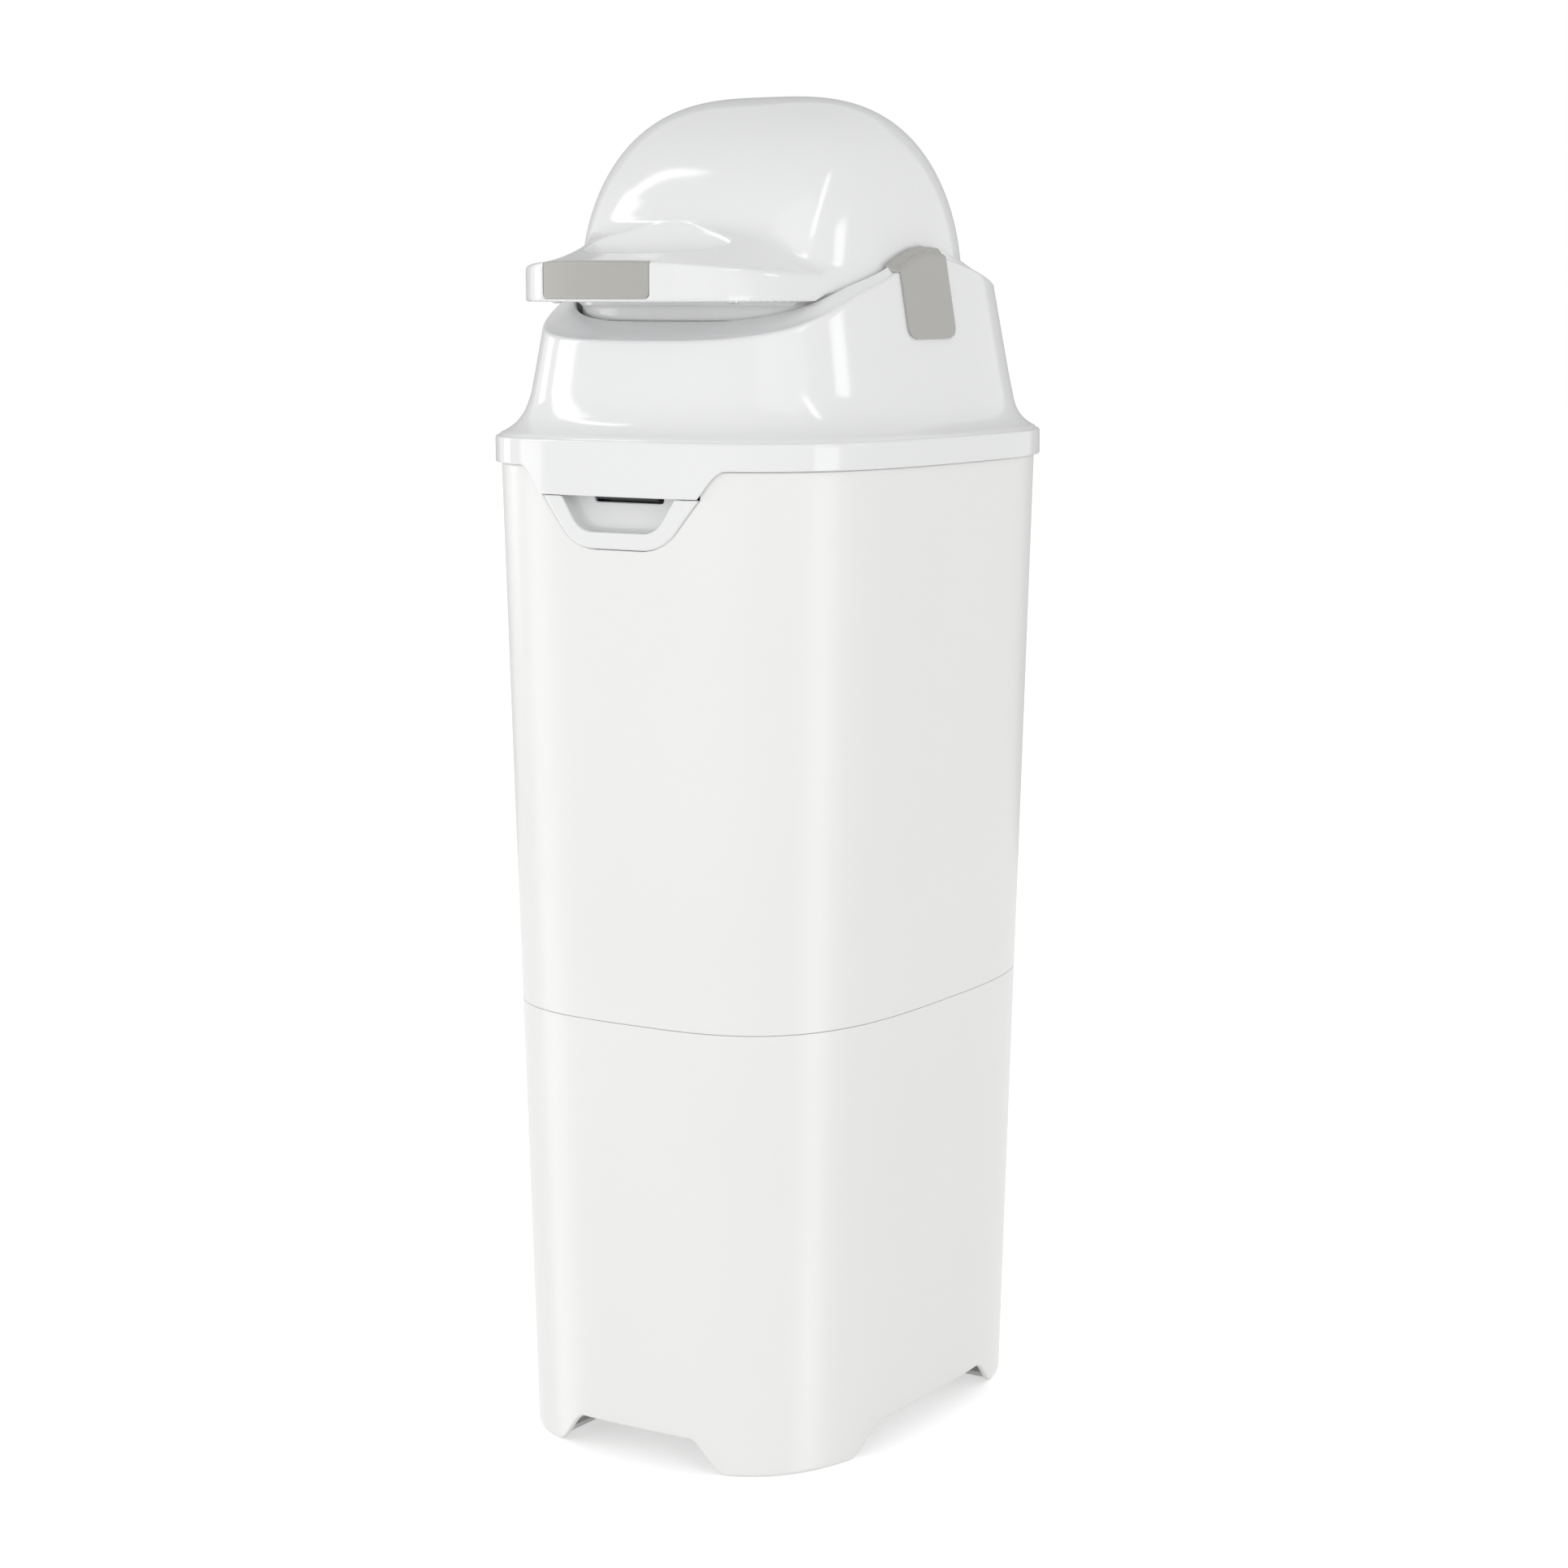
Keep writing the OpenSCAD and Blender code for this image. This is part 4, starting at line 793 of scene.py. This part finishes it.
def cup_distance(x, y, z):
    """The frame and the tub behind it, less the finger pocket and the lever's slot."""
    a, b = body_half(z)
    face = -y - (b + 0.8) * np.clip(1 - (np.abs(x) / (a + 0.8)) ** PLAN_N, 0, 1) ** (1 / PLAN_N)
    behind = y + 134.0
    cup_frame = carve(slant_block(x, z, 47.5, 505.6, 27.0, 479.4, 10), face, 1.4)
    cup_frame = carve(carve(cup_frame, behind, 0.5), z - 505.6, 0.4)
    tub = carve(slant_block(x, z, 36.6, 506, 25.6, 486, 8.5), behind, 0.5)
    tub = carve(carve(tub, -y - 145.0, 0.5), z - 510.5, 0.4)
    pocket = carve(slant_block(x, z, 34.6, 506, 23.6, 488.0, 7.5), y + 136.0, 4.0)
    slot = carve(carve(np.abs(x) - 21.2, 502.5 - z, 2.0), -y - 139.0, 0.3)
    return carve(carve(np.minimum(cup_frame, tub), -pocket, 1.0), -slot, 0.4)


cup_cell = 0.55
cup_mesh = skin(cup_distance, (-52, -152, 476), (52, -131, 513), cup_cell)
as_piece("cup_skin", cup_mesh, "bin", ["latch_cup"], sharp=50)

# %% [markdown]
# ## Hinge knuckle
# At the back a knuckle hangs on the flange and turns on a steel pin between the bracket's two
# ears. It is a short tube with softened ends, and a web that joins it to the flange. The web stops
# inside the tube's wall, so the pin's bore stays open.

# %% Build the knuckle and the pin
HINGE_Y, HINGE_Z, KNUCKLE_R = 156.992, 524.0, 6.0


def turned(profile, spot, axis, turns=64):
    """A closed profile of (radius, place) points turned round an axis through a spot."""
    phi = np.arange(turns) * 2 * np.pi / turns
    rows = []
    for r, place in profile:
        row = [r * np.cos(phi), r * np.sin(phi), np.full(turns, float(place))]
        row = np.roll(row, axis + 1, axis=0)
        rows.append(np.column_stack(row) + np.array(spot))
    return mesh_from(np.concatenate(rows), ring_faces(len(rows), turns, hoop=True))


def along_x(mesh):
    """The mesh with its own x, y and z turned to y, z and x."""
    mesh.transform(Matrix(((0, 0, 1, 0), (1, 0, 0, 0), (0, 1, 0, 0), (0, 0, 0, 1))))
    return mesh


def rounded_tube(inner, outer, half, soft=0.6):
    """The closed profile of a tube of a half length, with its outer edges rounded."""
    bend = [(soft * (1 - math.cos(q)), soft * (1 - math.sin(q)))
            for q in np.linspace(0, np.pi / 2, 5)]
    profile = [(inner, -half), (outer - soft, -half)]
    profile += [(outer - a, b - half) for a, b in reversed(bend)]
    return profile + [(outer - a, half - b) for a, b in bend] + [(inner, half)]


hinge_spot = (0, HINGE_Y, HINGE_Z)
knuckle = turned(rounded_tube(2.56, KNUCKLE_R, 21.7), hinge_spot, 0)
web_arc = [(HINGE_Y + 4.3 * math.cos(q), HINGE_Z + 4.3 * math.sin(q))
           for q in np.radians(np.linspace(218, 90, 17))]
WEB_Y, WEB_LOW, WEB_TOP = 146.9, 520.6, 529.95
web_side = [(WEB_Y, WEB_LOW), *web_arc, (HINGE_Y, WEB_TOP), (WEB_Y, WEB_TOP)]
web = along_x(prism(web_side, -21.4, 21.4))
as_piece("knuckle_skin", joined([knuckle, web]), "lid", slot="gloss_white")
pin_end = [(0.01, 38.7), (1.6, 38.7), (2.2, 38.45), (2.5, 37.9)]
pin_profile = [(r, -place) for r, place in pin_end] + pin_end[::-1]
as_piece("hinge_pin_skin", turned(pin_profile, hinge_spot, 0), "bin", ["hinge_pin"])

# %% [markdown]
# ## Bag ring, underplate and gasket
# These show when the lid is open. The ring hangs inside the body's top edge and its tube carries
# the bag. The underplate closes the lid from below, with a raised lip round the drop hole, and a
# rubber gasket under it presses on the ring.

# %% Build the inner mouldings
RING_A, RING_B, RING_BACK = 105.944, 128.992, 8.0


def oval_section(section):
    """A closed section of (half width, half depth, height, back) rows carried round an oval."""
    return loft([(*oval(a, b, PLAN_N, around, back), z) for a, b, z, back in section])


from_side = oval(RING_A, RING_B, PLAN_N, around)[1]
ring_foot = 499.9 + 0.75 * np.sqrt(np.maximum(9 ** 2 - from_side ** 2, 0))      # thumb notches
ring_rows = [(0, ring_foot + 0.4), (0, 508.9), (0.25, 509.4), (0.8, 509.7), (18.6, 509.7),
             (19.4, 509.4), (20, 508.6), (20, 470.3), (19.7, 469.8), (18.8, 469.7), (17.9, 469.8),
             (17.6, 470.3), (17.6, 506.5), (16.8, 507.3), (3.2, 507.3), (2.4, 506.9),
             (2.4, ring_foot + 0.4), (1.9, ring_foot), (0.5, ring_foot)]
ring_mesh = oval_section([(RING_A - r, RING_B - r, z, RING_BACK) for r, z in ring_rows])
as_piece("bag_ring_skin", ring_mesh, "bin", ["bag_ring"])

plate_rows = [(109.34, 140.89, 513.4), (109.34, 140.89, 515.6), (108.9, 140.5, 516), (74, 76, 516)]
plate_rows += [(a, a + 2, z) for a, z in
               ((72.9, 516.4), (72.5, 517.2), (72.5, 519.2), (72.1, 519.8), (71.2, 520),
                (70.4, 519.8), (70, 519.2), (70, 513.5), (70.5, 513))]
plate_rows += [(108.9, 140.5, 513)]
plate_mesh = oval_section([(a, b, z, 0) for a, b, z in plate_rows])
as_piece("underplate_skin", plate_mesh, "lid", ["lid_underplate"])

gasket_rows = [(0, 510.5), (0, 512.6), (0.35, 512.95), (4.65, 512.95), (5, 512.6), (5, 510.5),
               (4.6, 510.1), (3.6, 510.05), (2.9, 510.5), (2.5, 510.9), (2.1, 510.5), (1.4, 510.05),
               (0.4, 510.1)]
GASKET_A, GASKET_B = RING_A - 12, RING_B - 20
gasket_mesh = oval_section([(GASKET_A - r, GASKET_B - r, z, RING_BACK) for r, z in gasket_rows])
as_piece("gasket_skin", gasket_mesh, "lid", ["lid_gasket"])

# %% [markdown]
# ## Screws
# All screws have a domed head with a cross recess. One screw is turned and its cross is cut once.
# It is then copied to each place and pointed the right way.

# %% Build the screws
SHANK_R = 1.55


def screw_mesh(head_r, head_h, length):
    """A screw that points down, with its head's seat at zero and its cross on top."""
    dome = [(head_r * math.cos(q), head_h * (0.45 + 0.55 * math.sin(q)))
            for q in np.linspace(0, np.pi / 2 - 0.03, 8)]
    profile = [(0.01, -length), (SHANK_R / 2, -length), (SHANK_R, 1.6 - length), (SHANK_R, 0),
               (head_r - 0.15, 0), (head_r, 0.15), *dome]
    body = turned(profile, (0, 0, 0), 2)
    arm, width = head_r * 0.55, head_r * 0.13
    deep, top = head_h * 0.35, head_h + 1
    bars = [prism([(-a, -b), (a, -b), (a, b), (-a, b)], deep, top)
            for a, b in ((arm, width), (width, arm))]
    return boolean(body, [boolean(bars[0], [bars[1]], "UNION")])


DOWN, BACKWARD = Matrix.Rotation(np.pi, 4, "X"), Matrix.Rotation(-np.pi / 2, 4, "X")
# body, turn, head radius, head height, length, places
SCREWS = {
    "hinge_screws": ("bin", BACKWARD, 3.6, 2.0, 11.6,
                     [(x, 150.592, z) for x in (-34, 34) for z in (489, 503)]),
    "underplate_screws": ("lid", DOWN, 2.8, 1.8, 12.0,
                          [(s * x, y, 513) for s in SIDES
                           for x, y in ((73.94, -106.04), (78.0, 99.97))]),
    "cover_screws": ("drum", DOWN, 2.8, 1.2, 6.2, [(s * 54, -122, 602.8) for s in SIDES]),
    "hook_screws": ("lid", DOWN, 2.8, 1.4, 5.4, [(s * 22, -123.89, 510.6) for s in SIDES]),
    "drum_screws": ("drum", DOWN, 2.8, 2.0, 20.0,
                    [(s * 66, e * 50, 584.8) for s in SIDES for e in SIDES]),
}
for name, (body, turn, head_r, head_h, length, places) in SCREWS.items():
    model = screw_mesh(head_r, head_h, length)
    copies = []
    for place in places:
        copy = model.copy()
        copy.transform(Matrix.Translation(Vector(place) * MM) @ turn)
        copies.append(copy)
    as_piece(f"{name}_skin", joined(copies), body, [name])

# %% [markdown]
# ## Finishes
# Moulded plastic is never perfectly even. Each finish below starts from one colour and adds what
# that moulding has: a fine spark-eroded grain on the satin body, a faint flow of the surface on
# the gloss parts, soft mottling on the grey ones. The colour varies by a hair as well, so no
# surface is flat. Noise is read in object coordinates, in metres, so a scale of 1500 means
# grains of about two thirds of a millimetre.

# %% Make the finishes
def add_node(tree, kind, **values):
    """A new shader node. Each value sets the input of that name, spaces written as underscores."""
    node = tree.nodes.new("ShaderNode" + kind)
    for key, value in values.items():
        node.inputs[key.replace("_", " ")].default_value = value
    return node


def wire(source, target):
    """Links two sockets of one node tree."""
    source.id_data.links.new(source, target)


def plastic(name, colour, roughness, grain_scale, grain, flow_scale, flow, tint, metallic=0,
            sheen=0):
    """A moulded finish: colour drift, roughness drift, fine grain and slow surface flow."""
    material = bpy.data.materials.new(name)
    material.use_nodes = True
    tree = material.node_tree
    shader = tree.nodes["Principled BSDF"]
    for socket, value in (("Metallic", metallic), ("IOR", 1.5), ("Sheen Weight", sheen)):
        shader.inputs[socket].default_value = value
    place = add_node(tree, "TexCoord").outputs["Object"]

    def noise(scale, detail):
        texture = add_node(tree, "TexNoise", Scale=scale, Detail=detail)
        wire(place, texture.inputs["Vector"])
        return texture.outputs["Fac"]

    def relief(height, depth):
        bump = add_node(tree, "Bump", Strength=1.0, Distance=depth * MM)
        wire(height, bump.inputs["Height"])
        return bump

    ramp = add_node(tree, "ValToRGB")
    darker, lighter = ramp.color_ramp.elements
    darker.position, lighter.position = 0.3, 0.7
    darker.color, lighter.color = (*[c * (1 - tint) for c in colour], 1), (*colour, 1)
    wire(noise(9, 3), ramp.inputs["Fac"])
    wire(ramp.outputs["Color"], shader.inputs["Base Color"])
    grains = noise(grain_scale, 2)
    spread = add_node(tree, "MapRange", To_Min=roughness * 0.85, To_Max=roughness * 1.15)
    wire(grains, spread.inputs["Value"])
    wire(spread.outputs["Result"], shader.inputs["Roughness"])
    grain_bump = relief(grains, grain)
    if flow:
        flow_bump = relief(noise(flow_scale, 1), flow)
        wire(flow_bump.outputs["Normal"], grain_bump.inputs["Normal"])
    wire(grain_bump.outputs["Normal"], shader.inputs["Normal"])
    return material


# colour, roughness, grain scale and depth, flow scale and depth, tint, metallic, sheen
RECIPES = {
    "satin_white": ((0.885, 0.885, 0.87), 0.30, 1500, 0.010, 0, 0, 0.012),
    "gloss_white": ((0.872, 0.875, 0.879), 0.12, 900, 0.0015, 60, 0.03, 0.012),
    "light_grey": ((0.60, 0.61, 0.62), 0.38, 1100, 0.008, 0, 0, 0.03),
    "warm_grey": ((0.45, 0.445, 0.42), 0.36, 1300, 0.006, 80, 0.02, 0.03),
    "soft_grey": ((0.45, 0.445, 0.42), 0.55, 1600, 0.02, 0, 0, 0.03, 0, 0.1),
    "black_plastic": ((0.024, 0.026, 0.03), 0.32, 1300, 0.01, 0, 0, 0.2),
    "seal_rubber": ((0.13, 0.135, 0.14), 0.6, 1700, 0.02, 0, 0, 0.1),
    "steel": ((0.62, 0.62, 0.61), 0.28, 1400, 0.004, 0, 0, 0.05, 1.0),
}
finishes = {name: plastic(name, *values) for name, values in RECIPES.items()}
shown = [(node, slot_of_node[name]) for name, node in frame["nodes"].items()]
shown += [(piece, piece["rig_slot"]) for piece in scene.objects if "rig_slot" in piece]
for piece, slot in shown:
    piece.data.materials.clear()
    piece.data.materials.append(finishes[slot])
print("finishes:", ", ".join(finishes))

# %% [markdown]
# ## Studio
# The bin stands in a white studio. Plain light comes from the whole sky, about half as much from
# above as from the sides. The floor is a pale plane that keeps the shadow, and a faint glow turns
# it white where nothing shades it. It is left out of reflections, because a white table would
# only repeat the white sky there. Studio lengths are in metres.

# %% Set up the floor and the sky
scene.view_settings.view_transform = "Standard"
SKY_SIDE, SKY_TOP, FLOOR_WHITE, FLOOR_GLOW = 1.06, 0.57, 0.86, 0.48
FLOOR_HALF, FLOOR_Z = 15, -0.0005


def seen_directly(tree):
    """1 for rays from the camera or through glass, and 0 for all others."""
    path, total = add_node(tree, "LightPath"), add_node(tree, "Math")
    total.operation, total.use_clamp = "ADD", True
    wire(path.outputs["Is Camera Ray"], total.inputs[0])
    wire(path.outputs["Is Transmission Ray"], total.inputs[1])
    return total.outputs["Value"]


def bare_material(name):
    """A material that holds only its output so far, and its node tree."""
    material = bpy.data.materials.new(name)
    material.use_nodes = True
    tree = material.node_tree
    tree.nodes.remove(tree.nodes["Principled BSDF"])
    return material, tree


world = bpy.data.worlds.new("studio")
scene.world = world
world.use_nodes = True
sky = world.node_tree
background = sky.nodes["Background"]
background.inputs["Color"].default_value = (1, 1, 1, 1)
height = add_node(sky, "SeparateXYZ")
wire(add_node(sky, "TexCoord").outputs["Generated"], height.inputs["Vector"])
graded = add_node(sky, "MapRange", To_Min=SKY_SIDE, To_Max=SKY_TOP)
wire(height.outputs["Z"], graded.inputs["Value"])
level = add_node(sky, "MapRange", To_Max=1.0)
wire(graded.outputs["Result"], level.inputs["To Min"])
wire(seen_directly(sky), level.inputs["Value"])
wire(level.outputs["Result"], background.inputs["Strength"])

floor_mesh = bpy.data.meshes.new("floor")
floor_corners = [(x * FLOOR_HALF, y * FLOOR_HALF, FLOOR_Z)
                 for x, y in ((-1, -1), (1, -1), (1, 1), (-1, 1))]
floor_mesh.from_pydata(floor_corners, [], [(0, 1, 2, 3)])
floor = placed("floor", floor_mesh)
floor.visible_glossy = False
floor_material, paint = bare_material("floor")
floor_mesh.materials.append(floor_material)
matte = add_node(paint, "BsdfDiffuse", Color=(FLOOR_WHITE, FLOOR_WHITE, FLOOR_WHITE, 1))
lift = add_node(paint, "Math")
lift.operation = "MULTIPLY"
lift.inputs[1].default_value = FLOOR_GLOW
wire(seen_directly(paint), lift.inputs[0])
glow = add_node(paint, "Emission")
wire(lift.outputs["Value"], glow.inputs["Strength"])
both = add_node(paint, "AddShader")
wire(matte.outputs["BSDF"], both.inputs[0])
wire(glow.outputs["Emission"], both.inputs[1])
wire(both.outputs["Shader"], paint.nodes["Material Output"].inputs["Surface"])
floor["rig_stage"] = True
print("sky:", SKY_SIDE, "at the sides,", SKY_TOP, "above; floor:", FLOOR_WHITE)

# %% [markdown]
# ## Fill light
# Three large soft lamps brighten the front, the left side and the right side. They are kept out
# of reflections, so they shade the form without leaving a window on the gloss parts. The front
# one hangs low, and it is what lights the drum in the gap under the visor.

# %% Hang the fill lamps
LAMP_DISTANCE = 3.2


def round_the_bin(azimuth, distance, height):
    """A place near the bin. Azimuth 0 is in front and 90 is to the right."""
    angle = math.radians(azimuth)
    return Vector((distance * math.sin(angle), -distance * math.cos(angle), height))


def softbox(name, azimuth, height, width, tall, strength):
    """A soft lamp that faces the bin."""
    data = bpy.data.lights.new(name, "AREA")
    data.shape = "RECTANGLE"
    data.size, data.size_y = width, tall
    data.energy = strength * width * tall * math.pi
    lamp = placed(name, data)
    lamp.location = round_the_bin(azimuth, LAMP_DISTANCE, height)
    aim = Vector((0, 0, 0.5)) - lamp.location
    lamp.rotation_euler = aim.to_track_quat("-Z", "Y").to_euler()
    lamp.visible_glossy = False


softbox("front_fill", 0, 0.5, 2.6, 0.8, 2.0)
softbox("left_fill", -62, 0.7, 1.2, 1.4, 1.4)
softbox("right_fill", 62, 0.7, 1.2, 1.4, 1.8)

# %% [markdown]
# ## Cards for the reflections
# The long streaks on the gloss mouldings are reflections of tall narrow light boxes. Here they
# are glowing cards that only mirror rays see, so each one can be placed for its streak alone. A
# dim card behind the bin draws the thin grey line along the outlines in the same way.

# %% Place the cards
def card(name, azimuth, width, low, high, shade, slant=0.0, distance=2.4):
    """An upright card that only reflections see. A slant shifts its top edge to the side."""
    mesh = bpy.data.meshes.new(name)
    half, shift = width / 2, slant / 2
    mesh.from_pydata([(-half - shift, 0, low), (half - shift, 0, low), (half + shift, 0, high),
                      (shift - half, 0, high)], [], [(0, 1, 2, 3)])
    sheet = placed(name, mesh)
    sheet.location = round_the_bin(azimuth, distance, 0)
    sheet.rotation_euler = (0, 0, math.radians(azimuth))
    sheet.visible_camera = sheet.visible_diffuse = sheet.visible_shadow = False
    material, tree = bare_material(name)
    material.cycles.emission_sampling = "NONE"
    glow = add_node(tree, "Emission", Strength=shade)
    wire(glow.outputs["Emission"], tree.nodes["Material Output"].inputs["Surface"])
    mesh.materials.append(material)
    sheet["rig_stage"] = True


# name, azimuth, width, lower and upper edge, shade, slant
CARDS = [("left_bank", -65, 0.85, 0.9, 2.6, 4.5, 0.0),
         ("left_dome", -67, 0.34, 2.5, 3.9, 6.0, 0.0),
         ("left_strip", -91, 0.42, 0.2, 1.25, 3.5, 0.0),
         ("left_low", -62, 0.8, -1.6, 0.55, 3.0, 0.0),
         ("right_bank", 58, 2.2, 0.5, 3.0, 1.5, 0.0),
         ("right_strip", 111, 0.42, 0.86, 1.36, 5.0, 0.0),
         ("dome_strip", 92, 0.3, 1.55, 3.1, 6.0, 1.1),
         ("side_strip", 86, 0.8, -1.6, 0.56, 3.5, 0.0)]
for values in CARDS:
    card(*values)
card("back_card", 212, 2.6, 0.0, 1.7, 0.45, distance=1.6)
print("cards:", len(CARDS) + 1)

# %% [markdown]
# ## Sizes
# The boxes round the visual model and round the CAD model are printed one above the other.

# %% Write the sizes and finish
shown_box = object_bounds()
for label, (low_corner, high_corner) in (("CAD", cad_box), ("shown", shown_box)):
    print(label, "box:", [round(v, 4) for v in low_corner], [round(v, 4) for v in high_corner])
